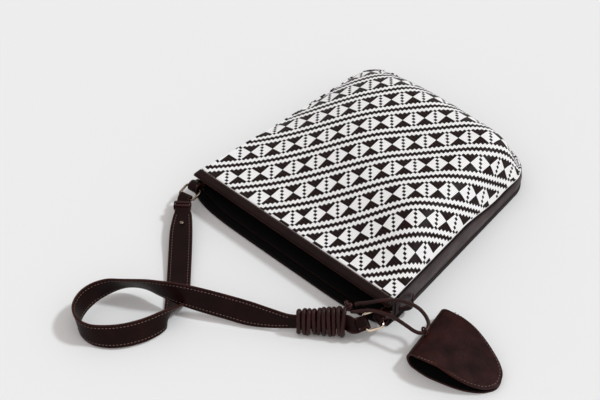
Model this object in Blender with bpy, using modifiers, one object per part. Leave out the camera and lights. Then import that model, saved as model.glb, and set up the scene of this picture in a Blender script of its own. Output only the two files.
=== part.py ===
"""Woven shoulder bag, lying on its back panel with its strap and charm spread in front.

Metres, +Z up. X runs along the mouth, Y from the mouth towards the base, and the origin
is the middle of the mouth on the flat underside of the back panel.
"""
import math

import bpy
from mathutils import Vector

MM = 0.001

# Body: the outline that both panels share, and the heights of the front seam
MOUTH_WIDTH = 323 * MM
BASE_WIDTH = 269 * MM
BODY_LENGTH = 303 * MM
CORNER_RADIUS = 44 * MM
SIDE_DEPTH = 35 * MM
BASE_DEPTH = 41 * MM
CORNER_SAG = 16 * MM
SAG_FROM = (10 * MM, 140 * MM)
SAG_RUN = (110 * MM, 90 * MM)
SAG_ROLL = 22 * MM
SWELL_HEIGHT = 36 * MM
SWELL_LEFT, SWELL_LEFT_POWER = 0.45, 0.65
SWELL_RIGHT, SWELL_RIGHT_POWER = 0.21, 0.8
SWELL_MOUTH_LEFT = 260 * MM
SWELL_MOUTH_RIGHT = 88 * MM
SWELL_MOUTH_POWER = 2.4
SWELL_BASE, SWELL_BASE_POWER = 47 * MM, 0.65

# Sheets and seams
FIT_GAP = 0.35 * MM
PANEL_WALL = 1.8 * MM
BACK_WALL = 2.4 * MM
BACK_OVERHANG = 1.5 * MM
GUSSET_WALL = 2.0 * MM
GUSSET_CROWN = 1.2 * MM
PIPING_RADIUS = 1.4 * MM
LINING_WALL = 0.7 * MM
LINING_SIDE_GAP = 1.6 * MM
LINING_TOP_GAP = 1.6 * MM
LINING_EASE = 4 * MM
PANEL_INSET = 2 * PIPING_RADIUS + FIT_GAP + 0.5 * PANEL_WALL

# Weave relief on the front panel
BAND_PITCH = 47 * MM
BAND_RELIEF = 0.5 * MM
STRAND_RELIEF = 0.22 * MM
WEAVE_COLUMNS = 37
WEAVE_ROWS = 30

# Bindings round the mouth
BINDING_WIDTH = 13 * MM
FRONT_BINDING_WALL = 3.4 * MM
BACK_BINDING_WALL = 3.0 * MM
BACK_LIP = 26 * MM
BACK_LIP_AT_CORNER = 13.5 * MM
BINDING_STEPS = 18
END_BINDING_WIDTH = 6 * MM
END_BINDING_WALL = 3.0 * MM

# Tabs, rivets and rings
TAB_WIDTH = 14 * MM
TAB_WALL = 2.0 * MM
TAB_LOOP_RADIUS = 6.2 * MM
TAB_TWIST_SHARE = 0.5
TAB_SEAT_X = 156.5 * MM
TAB_SEAT_HEIGHT = 20 * MM
LEFT_TAB_BAR = Vector((-155.5, -17.8, 21)) * MM
RIGHT_TAB_BAR = Vector((159.2, -22.6, 21.5)) * MM
RING_BAR_DROP = 2.5 * MM
RING_BAR_SPACING = 20.5 * MM
RING_WIDTH = 22.5 * MM
RING_FILLET = 5 * MM
RING_WIRE_RADIUS = 1.5 * MM
LEFT_RING_YAW = math.radians(8)
RIGHT_RING_YAW = math.radians(-31)
RIGHT_RING_ROLL = math.radians(14)
RIVET_RADIUS = 4 * MM
RIVET_HEIGHT = 2.2 * MM

# Strap
STRAP_WIDTH = 29 * MM
STRAP_END_WIDTH = 18 * MM
STRAP_FOLD_WIDTH = 15.5 * MM
STRAP_WALL = 2.6 * MM
STRAP_FOLD_REACH = 6.5 * MM
LEFT_FOLD_OFFSET = (3.0, -6.9, -0.6)
LEFT_END_KEYS = 12
FOLD_GAP = 0.8 * MM
FLOOR_GAP = 0.2 * MM
STRAP_FOLD_RADIUS = 4.3 * MM
KEEPER_WIDTH = 3.6 * MM
KEEPER_WALL = 1.6 * MM
STUD_RADIUS = 2.6 * MM
STUD_PLACE = (-125.5, -70.5, 17)

# Round leather cord: the wrap, its knot and the charm's loop
CORD_RADIUS = 1.9 * MM
WRAP_TURNS = 9.5
WRAP_START_STEP = 5
WRAP_HALF_HEIGHT_START = 13.4 * MM
WRAP_HALF_HEIGHT_END = 15.2 * MM
WRAP_HALF_DEPTH_START = 4.4 * MM
WRAP_HALF_DEPTH_END = 7.4 * MM
KNOT_CENTRE = Vector((123.3, -39.7, 28.9)) * MM
KNOT_RADIUS = 3.3 * MM
KNOT_TURNS = 2.3
KNOT_PITCH = 4.0 * MM

# Charm
CHARM_WALL = 2.8 * MM
CHARM_FLOOR_GAP = 0.1 * MM
CHARM_SPINE_START = Vector((214.7, -40.7, 12.5)) * MM
CHARM_SPINE_END = Vector((199.4, 39.3, 10.5)) * MM
EYE_PLACE = (212.4, -8, 28.6)
EYE_RADIUS = 4.6 * MM
EYE_WIRE_RADIUS = 1.3 * MM

# Loop on the gusset beside the right mouth corner
LOOP_START_Y = 6 * MM
LOOP_END_Y = 34 * MM
LOOP_REACH = 8 * MM
LOOP_WIDTH = 8 * MM
LOOP_WALL = 1.8 * MM
LOOP_HEIGHT = 15 * MM

# Middle of each strap station, then the direction its width runs in, both as placed
STRAP_ROUTE = (
    ((-134, -61, 15.5), (0.74, 0.67, 0.00)),
    ((-119, -78, 12.5), (0.73, 0.68, 0.00)),
    ((-98, -100, 8.5), (0.73, 0.68, 0.00)),
    ((-79, -120, 5.5), (0.74, 0.67, 0.00)),
    ((-60, -140, 3.8), (0.73, 0.68, 0.03)),
    ((-44, -158, 4.6), (0.70, 0.70, 0.16)),
    ((-32, -176, 9.5), (0.42, 0.55, 0.72)),
    ((-28, -195, 14.6), (-0.20, 0.12, 0.97)),
    ((-33, -217, 14.4), (-0.40, 0.20, 0.89)),
    ((-43, -237, 14.2), (-0.42, 0.28, 0.86)),
    ((-56, -253, 14.2), (-0.40, 0.25, 0.88)),
    ((-73, -265, 14.6), (-0.28, 0.12, 0.95)),
    ((-92, -267, 15.0), (-0.16, 0.00, 0.98)),
    ((-108, -258, 15.4), (-0.22, -0.10, 0.97)),
    ((-117, -241, 16.0), (-0.28, -0.18, 0.94)),
    ((-118, -222, 17.0), (-0.24, -0.28, 0.93)),
    ((-111, -203, 19.0), (-0.10, -0.36, 0.93)),
    ((-98, -189, 22.0), (0.12, -0.42, 0.90)),
    ((-80, -178, 25.0), (0.22, -0.30, 0.93)),
    ((-60, -170, 26.6), (0.12, -0.04, 0.99)),
    ((-38, -160, 26.0), (-0.14, 0.24, 0.96)),
    ((-12, -145, 21.5), (-0.36, 0.41, 0.84)),
    ((14, -130, 17.0), (-0.43, 0.47, 0.77)),
    ((38, -118, 14.6), (-0.42, 0.46, 0.78)),
    ((61, -106, 14.2), (-0.32, 0.36, 0.88)),
    ((81, -94, 14.6), (-0.24, 0.27, 0.93)),
    ((97, -81, 15.2), (-0.26, 0.28, 0.92)),
    ((114, -66, 16.2), (-0.30, 0.32, 0.90)),
    ((130.5, -53, 17.6), (-0.50, 0.40, 0.77)),
)

# Route of the charm's cord, from the knot out over the corner to the eye and back
CHARM_CORD_ROUTE = (
    (129.0, -35.2, 31.4), (131.5, -31.5, 33), (141, -25.5, 37), (152, -17, 41.5),
    (165, -7, 44.5), (178, 1, 43.5),
    (190, 6, 39.5), (200, 7, 33.5), (207.5, 4, 29.8), (211.5, -1.5, 28.4), (212.4, -8, 28.2),
    (210.2, -13.6, 28.2), (203.5, -16.6, 29), (192.5, -18, 31), (179, -20, 33.5),
    (165, -23.5, 34.6), (151.5, -29, 34), (141, -36, 31.5), (134.5, -41.5, 29),
    (130.3, -43.2, 28.2),
)

# One charm flap's edge from the spine's near end round the tip: x, y, upper flap's height
CHARM_OUTLINE = (
    (232, -40.8, 26.5), (243, -40.2, 28.4), (256, -37.3, 28.2), (271, -33.2, 22.5),
    (285, -28, 16.5), (297, -20.8, 11.0), (307, -11.5, 7.0), (312.6, 1.5, 5.4),
    (307.5, 16.8, 5.8), (296, 26.5, 8.0), (281, 33.2, 11.5), (265, 38.6, 15.0),
    (249, 42.2, 18.0), (234, 43.4, 20.0), (219, 42.6, 20.4),
)


def clear_scene():
    for item in list(bpy.data.objects):
        bpy.data.objects.remove(item, do_unlink=True)


def make_collection(name):
    group = bpy.data.collections.new(name)
    bpy.context.scene.collection.children.link(group)
    return group


def make_material(name, colour, roughness, metallic=0.0):
    material = bpy.data.materials.new(name)
    material.use_nodes = True
    shader = material.node_tree.nodes["Principled BSDF"]
    shader.inputs["Base Color"].default_value = (*colour, 1.0)
    shader.inputs["Roughness"].default_value = roughness
    shader.inputs["Metallic"].default_value = metallic
    material.diffuse_color = (*colour, 1.0)
    return material


def add_mesh(name, points, faces, material, smooth=True):
    mesh = bpy.data.meshes.new(name)
    mesh.from_pydata([tuple(point) for point in points], [], faces)
    mesh.update()
    if smooth:
        mesh.shade_smooth()
        mesh.set_sharp_from_angle(angle=math.radians(40))
    mesh.materials.append(material)
    item = bpy.data.objects.new(name, mesh)
    BAG.objects.link(item)
    return item


def add_thickness(item, wall, offset):
    solidify = item.modifiers.new("Wall", "SOLIDIFY")
    solidify.thickness = wall
    solidify.offset = offset
    solidify.use_even_offset = False


def grid_faces(rows, columns, flip=False):
    faces = []
    for row in range(rows - 1):
        for column in range(columns - 1):
            first = row * columns + column
            face = (first, first + 1, first + columns + 1, first + columns)
            faces.append(face[::-1] if flip else face)
    return faces


def smooth_curve(points, steps):
    """Catmull-Rom curve through tuples of any length, with steps samples per span."""
    samples = []
    count = len(points)
    for span in range(count - 1):
        before = points[max(span - 1, 0)]
        start = points[span]
        end = points[span + 1]
        after = points[min(span + 2, count - 1)]
        for step in range(steps):
            t = step / steps
            samples.append(tuple(
                0.5 * (2 * b + (c - a) * t + (2 * a - 5 * b + 4 * c - d) * t * t
                       + (3 * b - a - 3 * c + d) * t ** 3)
                for a, b, c, d in zip(before, start, end, after)))
    samples.append(tuple(points[-1]))
    return samples


def resample(points, count):
    """The same polyline with count points evenly spaced along it."""
    lengths = [0.0]
    for first, second in zip(points, points[1:]):
        lengths.append(lengths[-1] + (Vector(second[:3]) - Vector(first[:3])).length)
    evenly = []
    span = 0
    for index in range(count):
        target = lengths[-1] * index / (count - 1)
        while span < len(points) - 2 and lengths[span + 1] < target:
            span += 1
        part = (target - lengths[span]) / max(lengths[span + 1] - lengths[span], 1e-9)
        evenly.append(points[span].lerp(points[span + 1], min(max(part, 0.0), 1.0)))
    return evenly


def section_points(centre, across, normal, width, wall):
    """Eight points of a flat strip's section, with its long edges chamfered."""
    half = width / 2
    deep = wall / 2
    chamfer = min(deep * 0.55, half * 0.4)
    corners = (
        (half, deep - chamfer), (half - chamfer, deep), (chamfer - half, deep),
        (-half, deep - chamfer), (-half, chamfer - deep), (chamfer - half, -deep),
        (half - chamfer, -deep), (half, chamfer - deep),
    )
    return [centre + across * u + normal * v for u, v in corners]


def add_strip(name, stations, material, closed=False, normal=None):
    """A flat strip swept through stations of centre, width direction, width and wall.

    Both faces are split along the same diagonals, so that a twist keeps its thickness.
    """
    count = len(stations)
    points = []
    for index, (centre, across, width, wall) in enumerate(stations):
        before = stations[(index - 1) % count if closed else max(index - 1, 0)][0]
        after = stations[(index + 1) % count if closed else min(index + 1, count - 1)][0]
        along = (after - before).normalized()
        if normal is None:
            across = (across - along * across.dot(along)).normalized()
        points += section_points(centre, across, normal or along.cross(across), width, wall)
    faces = []
    for row in range(count if closed else count - 1):
        first = row * 8
        second = ((row + 1) % count) * 8
        for side in range(8):
            following = (side + 1) % 8
            a, b = first + side, first + following
            c, d = second + following, second + side
            faces += [(a, b, c), (a, c, d)] if side < 4 else [(a, b, d), (b, c, d)]
    if not closed:
        last = (count - 1) * 8
        faces.append(tuple(reversed(range(8))))
        faces.append(tuple(last + side for side in range(8)))
    return add_mesh(name, points, faces, material)


def add_tube(name, points, radius, material, closed=False, rounding=2):
    curve = bpy.data.curves.new(name, "CURVE")
    curve.dimensions = "3D"
    curve.bevel_depth = radius
    curve.bevel_resolution = rounding
    curve.use_fill_caps = not closed
    spline = curve.splines.new("POLY")
    spline.points.add(len(points) - 1)
    for slot, point in zip(spline.points, points):
        slot.co = (*point, 1.0)
    spline.use_cyclic_u = closed
    spline.use_smooth = True
    curve.materials.append(material)
    item = bpy.data.objects.new(name, curve)
    BAG.objects.link(item)
    return item


# Outline of the body, seen from above

def side_half_width(y, inset):
    """Half the body's width on its straight sides, moved in from the outline."""
    lean = (MOUTH_WIDTH - BASE_WIDTH) / 2 / BODY_LENGTH
    return MOUTH_WIDTH / 2 - lean * y - inset * math.hypot(1, lean)


def corner_centre():
    y = BODY_LENGTH - CORNER_RADIUS
    return side_half_width(y, CORNER_RADIUS), y


def half_width(y, inset):
    """Half the body's width anywhere, with the base corners rounded."""
    centre_x, centre_y = corner_centre()
    if y <= centre_y:
        return side_half_width(y, inset)
    radius = CORNER_RADIUS - inset
    rise = min(y - centre_y, radius)
    return centre_x + math.sqrt(radius * radius - rise * rise)


def body_outline(inset, start_y, side_steps=8, corner_steps=7, base_steps=6):
    """Points from the right mouth corner round the base to the left one, in one U."""
    centre_x, centre_y = corner_centre()
    radius = CORNER_RADIUS - inset
    right = []
    for step in range(side_steps):
        y = start_y + (centre_y - start_y) * step / side_steps
        right.append((side_half_width(y, inset), y))
    for step in range(corner_steps + 1):
        turn = math.pi / 2 * step / corner_steps
        right.append((centre_x + radius * math.cos(turn), centre_y + radius * math.sin(turn)))
    for step in range(1, base_steps // 2 + 1):
        right.append((centre_x * (1 - 2 * step / base_steps), centre_y + radius))
    left = [(-x, y) for x, y in reversed(right[:-1])]
    return right + left


def smooth_step(value):
    value = min(max(value, 0.0), 1.0)
    return value * value * (3 - 2 * value)


def edge_distance(x, y):
    """How far inside the outline a point is, from the side it is nearest to."""
    centre_x, centre_y = corner_centre()
    if abs(x) > centre_x and y > centre_y:
        return CORNER_RADIUS - math.hypot(abs(x) - centre_x, y - centre_y)
    return min(side_half_width(y, 0) - abs(x), BODY_LENGTH - y)


def even_depth(y):
    """Depth of the bag without its sag: it is deeper at its base."""
    return SIDE_DEPTH + (BASE_DEPTH - SIDE_DEPTH) * smooth_step(y / BODY_LENGTH * 1.6 - 0.6)


def corner_sag(x, y):
    """How far the front seam drops towards the base's right corner."""
    return (CORNER_SAG * smooth_step((x - SAG_FROM[0]) / SAG_RUN[0])
            * smooth_step((y - SAG_FROM[1]) / SAG_RUN[1]))


def seam_height(x, y):
    return even_depth(y) - corner_sag(x, y)


def puff(share, power):
    """Rises from 0 to 1 like the side of a cushion."""
    share = min(max(share, 0.0), 1.0)
    return (share * (2 - share)) ** power


def panel_height(x, y):
    """Height of the front panel's middle surface, which swells to the right and the base."""
    wide = half_width(y, PANEL_INSET)
    across = min(max((x + wide) / (2 * wide), 0.0), 1.0)
    sides = (puff(across / SWELL_LEFT, SWELL_LEFT_POWER)
             * puff((1 - across) / SWELL_RIGHT, SWELL_RIGHT_POWER))
    mouth = SWELL_MOUTH_LEFT + (SWELL_MOUTH_RIGHT - SWELL_MOUTH_LEFT) * across
    ends = (puff(y / mouth, SWELL_MOUTH_POWER)
            * puff((BODY_LENGTH - PANEL_INSET - y) / SWELL_BASE, SWELL_BASE_POWER))
    inside = edge_distance(x, y) - PANEL_INSET
    rolled = corner_sag(x, y) * (1 - smooth_step(inside / SAG_ROLL))
    return even_depth(y) + SWELL_HEIGHT * sides * ends - rolled


def lining_height(x, y):
    """The lining stays under the panel, also where the panel turns down steeply."""
    ease = 1 + LINING_EASE / half_width(y, PANEL_INSET)
    lower = min(panel_height(x, y), panel_height(x * ease, y + LINING_EASE))
    return lower - PANEL_WALL - LINING_TOP_GAP


def back_lip(x):
    """How far the back panel's mouth edge lies in front of the front panel's."""
    share = 1 - abs(x / (MOUTH_WIDTH / 2)) ** 6
    return -(BACK_LIP_AT_CORNER + (BACK_LIP - BACK_LIP_AT_CORNER) * share)


def binding_stations():
    wide = MOUTH_WIDTH / 2
    return [-wide + 2 * wide * step / BINDING_STEPS for step in range(BINDING_STEPS + 1)]


def panel_rows(inset, start_y, rows):
    """Rows from the mouth to the base, closer together where the corners turn."""
    end_y = BODY_LENGTH - inset
    parts = [row / (rows - 1) for row in range(rows)]
    return [start_y + (end_y - start_y) * (0.5 * part + 0.5 * math.sin(math.pi / 2 * part))
            for part in parts]


# Body pieces

def make_front_panel():
    rows = panel_rows(PANEL_INSET, FIT_GAP, WEAVE_ROWS)
    points = []
    for row, y in enumerate(rows):
        wide = half_width(y, PANEL_INSET)
        for column in range(WEAVE_COLUMNS):
            part = 2 * column / (WEAVE_COLUMNS - 1) - 1
            x = wide * (0.6 * part + 0.4 * math.sin(math.pi / 2 * part))
            inside = 0 < row < WEAVE_ROWS - 1 and 0 < column < WEAVE_COLUMNS - 1
            band = math.cos(2 * math.pi * (y - x) / math.sqrt(2) / BAND_PITCH)
            over = 1 if (row + column) % 2 else -1
            relief = BAND_RELIEF * band + STRAND_RELIEF * over if inside else 0.0
            points.append((x, y, panel_height(x, y) + relief))
    faces = grid_faces(WEAVE_ROWS, WEAVE_COLUMNS)
    panel = add_mesh("front_panel", points, faces, WEAVE, smooth=False)
    add_thickness(panel, PANEL_WALL, 0.0)


def make_back_panel():
    curve = bpy.data.curves.new("back_panel", "CURVE")
    curve.dimensions = "2D"
    curve.fill_mode = "BOTH"
    curve.extrude = BACK_WALL / 2
    mouth_x = side_half_width(0, -BACK_OVERHANG)
    mouth = [(x, back_lip(x) + BINDING_WIDTH + FIT_GAP) for x in binding_stations()]
    mouth = [(-mouth_x, mouth[0][1])] + mouth + [(mouth_x, mouth[-1][1])]
    outline = body_outline(-BACK_OVERHANG, mouth[0][1] + 8 * MM) + mouth
    spline = curve.splines.new("POLY")
    spline.points.add(len(outline) - 1)
    for slot, (x, y) in zip(spline.points, outline):
        slot.co = (x, y, 0.0, 1.0)
    spline.use_cyclic_u = True
    curve.materials.append(WEAVE)
    panel = bpy.data.objects.new("back_panel", curve)
    panel.location.z = BACK_WALL / 2
    BAG.objects.link(panel)


def make_piping():
    outline = body_outline(PIPING_RADIUS - 0.2 * MM, FIT_GAP)
    back_height = BACK_WALL + FIT_GAP + PIPING_RADIUS
    back = [(x, y, back_height) for x, y in outline]
    front = [(x, y, seam_height(x, y)) for x, y in outline]
    add_tube("back_piping", back, PIPING_RADIUS, LEATHER, rounding=1)
    add_tube("front_piping", front, PIPING_RADIUS, LEATHER, rounding=1)


def make_gusset():
    outline = body_outline(GUSSET_WALL / 2, FIT_GAP)
    bottom = BACK_WALL + 2 * PIPING_RADIUS + 2 * FIT_GAP
    levels = 5
    points = []
    for index, (x, y) in enumerate(outline):
        before = outline[max(index - 1, 0)]
        after = outline[min(index + 1, len(outline) - 1)]
        outward = Vector((after[1] - before[1], before[0] - after[0], 0)).normalized()
        top = seam_height(x, y) - PIPING_RADIUS - 1.4 * FIT_GAP
        for level in range(levels):
            part = level / (levels - 1)
            crown = outward * GUSSET_CROWN * math.sin(math.pi * part)
            points.append(Vector((x, y, bottom + (top - bottom) * part)) + crown)
    gusset = add_mesh("gusset", points, grid_faces(len(outline), levels), LEATHER)
    add_thickness(gusset, GUSSET_WALL, 0.0)


def make_lining():
    """A thin pouch inside, open at the mouth: rings of points from mouth to base."""
    inset = GUSSET_WALL + LINING_SIDE_GAP + 2 * PIPING_RADIUS
    floor = BACK_WALL + FIT_GAP
    rows = panel_rows(inset, 2 * MM, 12)
    across = 10
    rings = []
    for row, y in enumerate(rows):
        wide = half_width(y, inset)
        fade = (1 - row / (len(rows) - 1)) ** 2
        ring = []
        for column in range(across):
            x = -wide + 2 * wide * column / (across - 1)
            start = back_lip(x) + BINDING_WIDTH + 3 * FIT_GAP
            ring.append((x, y + (start - rows[0]) * fade, floor))
        for column in reversed(range(across)):
            x = -wide + 2 * wide * column / (across - 1)
            ring.append((x, y, lining_height(x, y)))
        rings.append(ring)
    size = 2 * across
    points = [point for ring in rings for point in ring]
    faces = []
    for row in range(len(rings) - 1):
        for side in range(size):
            following = (side + 1) % size
            first, second = row * size, (row + 1) * size
            faces.append((first + side, second + side, second + following, first + following))
    last = (len(rings) - 1) * size
    for column in range(across - 1):
        faces.append((last + column, last + size - 1 - column,
                      last + size - 2 - column, last + column + 1))
    lining = add_mesh("lining", points, faces, LINING)
    add_thickness(lining, LINING_WALL, -1.0)


def make_bindings():
    front_y = -(BINDING_WIDTH / 2 + FIT_GAP)
    wide = MOUTH_WIDTH / 2
    front = []
    back = []
    for x in binding_stations():
        across = Vector((0, 1, 0))
        front.append((Vector((x, front_y, SIDE_DEPTH)), across, BINDING_WIDTH,
                      FRONT_BINDING_WALL))
        middle = Vector((x, back_lip(x) + BINDING_WIDTH / 2, BACK_BINDING_WALL / 2))
        back.append((middle, across, BINDING_WIDTH - FIT_GAP, BACK_BINDING_WALL))
    up = Vector((0, 0, 1))
    add_strip("front_binding", front, LEATHER, normal=up)
    add_strip("back_binding", back, LEATHER, normal=up)
    low = BACK_BINDING_WALL + FIT_GAP
    high = SIDE_DEPTH - FRONT_BINDING_WALL / 2 - FIT_GAP
    for side, name in ((-1, "left_end_binding"), (1, "right_end_binding")):
        ends = []
        for step in range(4):
            height = low + (high - low) * step / 3
            middle = Vector((side * (wide - END_BINDING_WALL / 2), -END_BINDING_WIDTH / 2, height))
            ends.append((middle, Vector((0, 1, 0)), END_BINDING_WIDTH - FIT_GAP,
                         END_BINDING_WALL))
        add_strip(name, ends, LEATHER)


def fold_keys(bar, bar_axis, away, radius, reach_degrees=125, steps=5):
    """Points round a bar, from under it to over it on the side that faces away."""
    away = (away - bar_axis * away.dot(bar_axis)).normalized()
    up = away.cross(bar_axis).normalized()
    if up.z < 0:
        up = -up
    keys = []
    for step in range(steps):
        turn = math.radians(-reach_degrees + 2 * reach_degrees * step / (steps - 1))
        keys.append(bar + (away * math.cos(turn) + up * math.sin(turn)) * radius)
    return keys


def make_tab(name, side, bar, bar_axis):
    """A strip folded round a ring bar, with both ends on the end binding."""
    seat = Vector((side * TAB_SEAT_X, -END_BINDING_WIDTH - FIT_GAP, TAB_SEAT_HEIGHT))
    flat = Vector((1, 0, 0))
    turned = flat.lerp(bar_axis, TAB_TWIST_SHARE).normalized()
    rise = Vector((0, 0, TAB_WALL / 2 + FIT_GAP))
    root = seat - Vector((0, 2.5 * MM, 0))
    neck = seat.lerp(bar, 0.5)
    spread = Vector((0, 0, 2.2 * MM))
    under = [(seat - rise, flat), (root - rise, flat), (neck - rise - spread, turned)]
    over = [(neck + rise + spread, turned), (root + rise, flat), (seat + rise, flat)]
    bend = [(point, turned) for point in fold_keys(bar, turned, bar - seat, TAB_LOOP_RADIUS, 115, 9)]
    add_strip(name, [(point, across, TAB_WIDTH, TAB_WALL)
                     for point, across in under + bend + over], LEATHER)


def make_rivet(name, x, y, z):
    """Domed head lying against the inner face of the front binding's corner."""
    profile = [(RIVET_RADIUS, 0.0), (RIVET_RADIUS, 0.35 * RIVET_HEIGHT),
               (0.8 * RIVET_RADIUS, 0.8 * RIVET_HEIGHT), (0.4 * RIVET_RADIUS, RIVET_HEIGHT)]
    sides = 14
    points = []
    for radius, depth in profile:
        for side in range(sides):
            turn = 2 * math.pi * side / sides
            points.append((x + radius * math.cos(turn), y + radius * math.sin(turn), z - depth))
    faces = [tuple(range(sides))]
    for row in range(len(profile) - 1):
        for side in range(sides):
            following = (side + 1) % sides
            first, second = row * sides, (row + 1) * sides
            faces.append((first + side, second + side, second + following, first + following))
    faces.append(tuple((len(profile) - 1) * sides + side for side in reversed(range(sides))))
    add_mesh(name, points, faces, METAL)


def make_ring(name, centre, bar_axis, along):
    """Oval wire ring with two straight bars and rounded corners."""
    half_bar = RING_WIDTH / 2 - RING_FILLET
    half_length = RING_BAR_SPACING / 2 - RING_FILLET
    points = []
    for side_x, side_y, start in ((1, 1, 0), (-1, 1, 90), (-1, -1, 180), (1, -1, 270)):
        for step in range(5):
            turn = math.radians(start + 90 * step / 4)
            points.append(centre + bar_axis * (side_x * half_bar + RING_FILLET * math.cos(turn))
                          + along * (side_y * half_length + RING_FILLET * math.sin(turn)))
    add_tube(name, points, RING_WIRE_RADIUS, METAL, closed=True)


def ring_frames():
    """For both rings: centre, direction of the bars, direction from strap to tab."""
    drop = math.asin(RING_BAR_DROP / RING_BAR_SPACING)
    frames = []
    for bar, yaw, roll in ((LEFT_TAB_BAR, LEFT_RING_YAW, 0.0),
                           (RIGHT_TAB_BAR, RIGHT_RING_YAW, RIGHT_RING_ROLL)):
        along = Vector((-math.sin(yaw) * math.cos(drop), math.cos(yaw) * math.cos(drop),
                        math.sin(drop)))
        level = Vector((math.cos(yaw), math.sin(yaw), 0))
        bar_axis = level * math.cos(roll) - level.cross(along) * math.sin(roll)
        frames.append((bar - along * RING_BAR_SPACING / 2, bar_axis, along))
    return frames


# Strap

def above_floor(point, across, width):
    """The point, lifted where needed so that the strip's lower edge clears the floor."""
    sine = abs(across.z)
    lowest = (width / 2 * sine + STRAP_WALL / 2 * math.sqrt(max(1 - sine * sine, 0))
              + FLOOR_GAP)
    return Vector((point.x, point.y, max(point.z, lowest)))


def strap_width(index):
    """Width at one station of the route: narrow at both ends."""
    from_end = len(STRAP_ROUTE) - 1 - index
    if index < 2:
        return STRAP_END_WIDTH + (STRAP_WIDTH - STRAP_END_WIDTH) * (0.5, 0.92)[index]
    if from_end < 5:
        return STRAP_END_WIDTH + (STRAP_WIDTH - STRAP_END_WIDTH) * (0, 0, 0, 0.04, 0.6)[from_end]
    return STRAP_WIDTH


def left_end_frame():
    """Place, direction and width direction of the strap's left folded end."""
    centre, _, along = ring_frames()[0]
    bar = centre - along * RING_BAR_SPACING / 2
    run = Vector((0.64, -0.77, -0.08)).normalized()
    across = Vector((0.77, 0.64, 0)).normalized()
    return bar, bar + Vector(LEFT_FOLD_OFFSET) * MM, run, across


def strap_keys():
    """The whole strip: folded end, left bar, run on the floor, right bar, folded end."""
    bar, tail, run, across = left_end_frame()
    up = across.cross(run)
    if up.z < 0:
        up = -up
    layer = STRAP_WALL / 2 + FOLD_GAP / 2
    keys = []
    _, bar_axis, _ = ring_frames()[0]
    bent = bar_axis.lerp(across, 0.08).normalized()
    half_bent = bent.lerp(across, 0.5).normalized()
    for reach in (20, 13, 6):
        keys.append((tail + run * reach * MM - up * layer, across, STRAP_END_WIDTH))
    keys.append((tail + run * 0.5 * MM - up * layer, half_bent, STRAP_FOLD_WIDTH))
    for point in fold_keys(bar, bent, -run, STRAP_FOLD_RADIUS):
        keys.append((point, bent, STRAP_FOLD_WIDTH))
    keys.append((tail + run * 0.5 * MM + up * layer, half_bent, STRAP_FOLD_WIDTH))
    for reach in (6, 12.5):
        keys.append((tail + run * reach * MM + up * layer, across, STRAP_END_WIDTH))
    for index, (point, width_way) in enumerate(STRAP_ROUTE):
        width_way = Vector(width_way).normalized()
        width = strap_width(index)
        keys.append((above_floor(Vector(point) * MM, width_way, width), width_way, width))
    centre, bar_axis, along = ring_frames()[1]
    bar = centre - along * RING_BAR_SPACING / 2
    away = Vector((-0.60, -0.80, -0.06))
    away = (away - bar_axis * away.dot(bar_axis)).normalized()
    up = away.cross(bar_axis)
    if up.z < 0:
        up = -up
    root = bar + away * STRAP_FOLD_REACH
    turned = -bar_axis
    for reach in (6.5, 1):
        keys.append((root + away * reach * MM - up * layer, turned, STRAP_END_WIDTH))
    for point in fold_keys(bar, bar_axis, -away, STRAP_FOLD_RADIUS):
        keys.append((point, turned, STRAP_FOLD_WIDTH))
    for reach in (1, 2.2):
        keys.append((root + away * reach * MM + up * layer, turned, STRAP_END_WIDTH))
    return [(*point, *width_way, width) for point, width_way, width in keys]


def strap_stations():
    stations = []
    for sample in smooth_curve(strap_keys(), 2):
        width_way = Vector(sample[3:6]).normalized()
        point = above_floor(Vector(sample[:3]), width_way, sample[6])
        stations.append((point, width_way, sample[6], STRAP_WALL))
    return stations


def make_band_loop(name, centre, along, across, half_width_, half_height):
    """A narrow band that goes once round the strap."""
    up = across.cross(along).normalized()
    if up.z < 0:
        up = -up
    round_ = 1.2 * MM
    points = []
    for side_u, side_v, start in ((1, 1, 0), (-1, 1, 90), (-1, -1, 180), (1, -1, 270)):
        for step in range(4):
            turn = math.radians(start + 90 * step / 3)
            points.append(centre + across * (side_u * (half_width_ - round_) + round_
                                             * math.cos(turn))
                          + up * (side_v * (half_height - round_) + round_ * math.sin(turn)))
    add_strip(name, [(point, along, KEEPER_WIDTH, KEEPER_WALL) for point in points],
              LEATHER, closed=True)


def make_strap():
    add_strip("strap", strap_stations(), LEATHER)
    _, tail, along, across = left_end_frame()
    half_wide = STRAP_END_WIDTH / 2 + FIT_GAP + KEEPER_WALL / 2
    half_high = STRAP_WALL + FOLD_GAP / 2 + FIT_GAP + KEEPER_WALL / 2
    for number, reach in ((1, 4.4), (2, 9.4)):
        make_band_loop(f"strap_keeper_{number}", tail + along * reach * MM, along, across,
                       half_wide, half_high)
    stud_at = Vector(STUD_PLACE) * MM
    bpy.ops.mesh.primitive_cone_add(vertices=14, radius1=STUD_RADIUS, radius2=0.5 * STUD_RADIUS,
                                    depth=1.4 * MM, location=stud_at)
    stud = bpy.context.object
    stud.name = "strap_stud"
    stud.data.name = "strap_stud"
    stud.data.materials.append(METAL)
    for group in list(stud.users_collection):
        group.objects.unlink(stud)
    BAG.objects.link(stud)


def wrap_line():
    """The strap's own middle line and width direction, over the stretch that is wrapped."""
    last = LEFT_END_KEYS + len(STRAP_ROUTE) - 1
    steps = 12
    samples = smooth_curve(strap_keys()[last - 4:last + 2], steps)
    samples = samples[steps + WRAP_START_STEP:-steps]
    return resample([Vector(sample) for sample in samples], 40)


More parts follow.
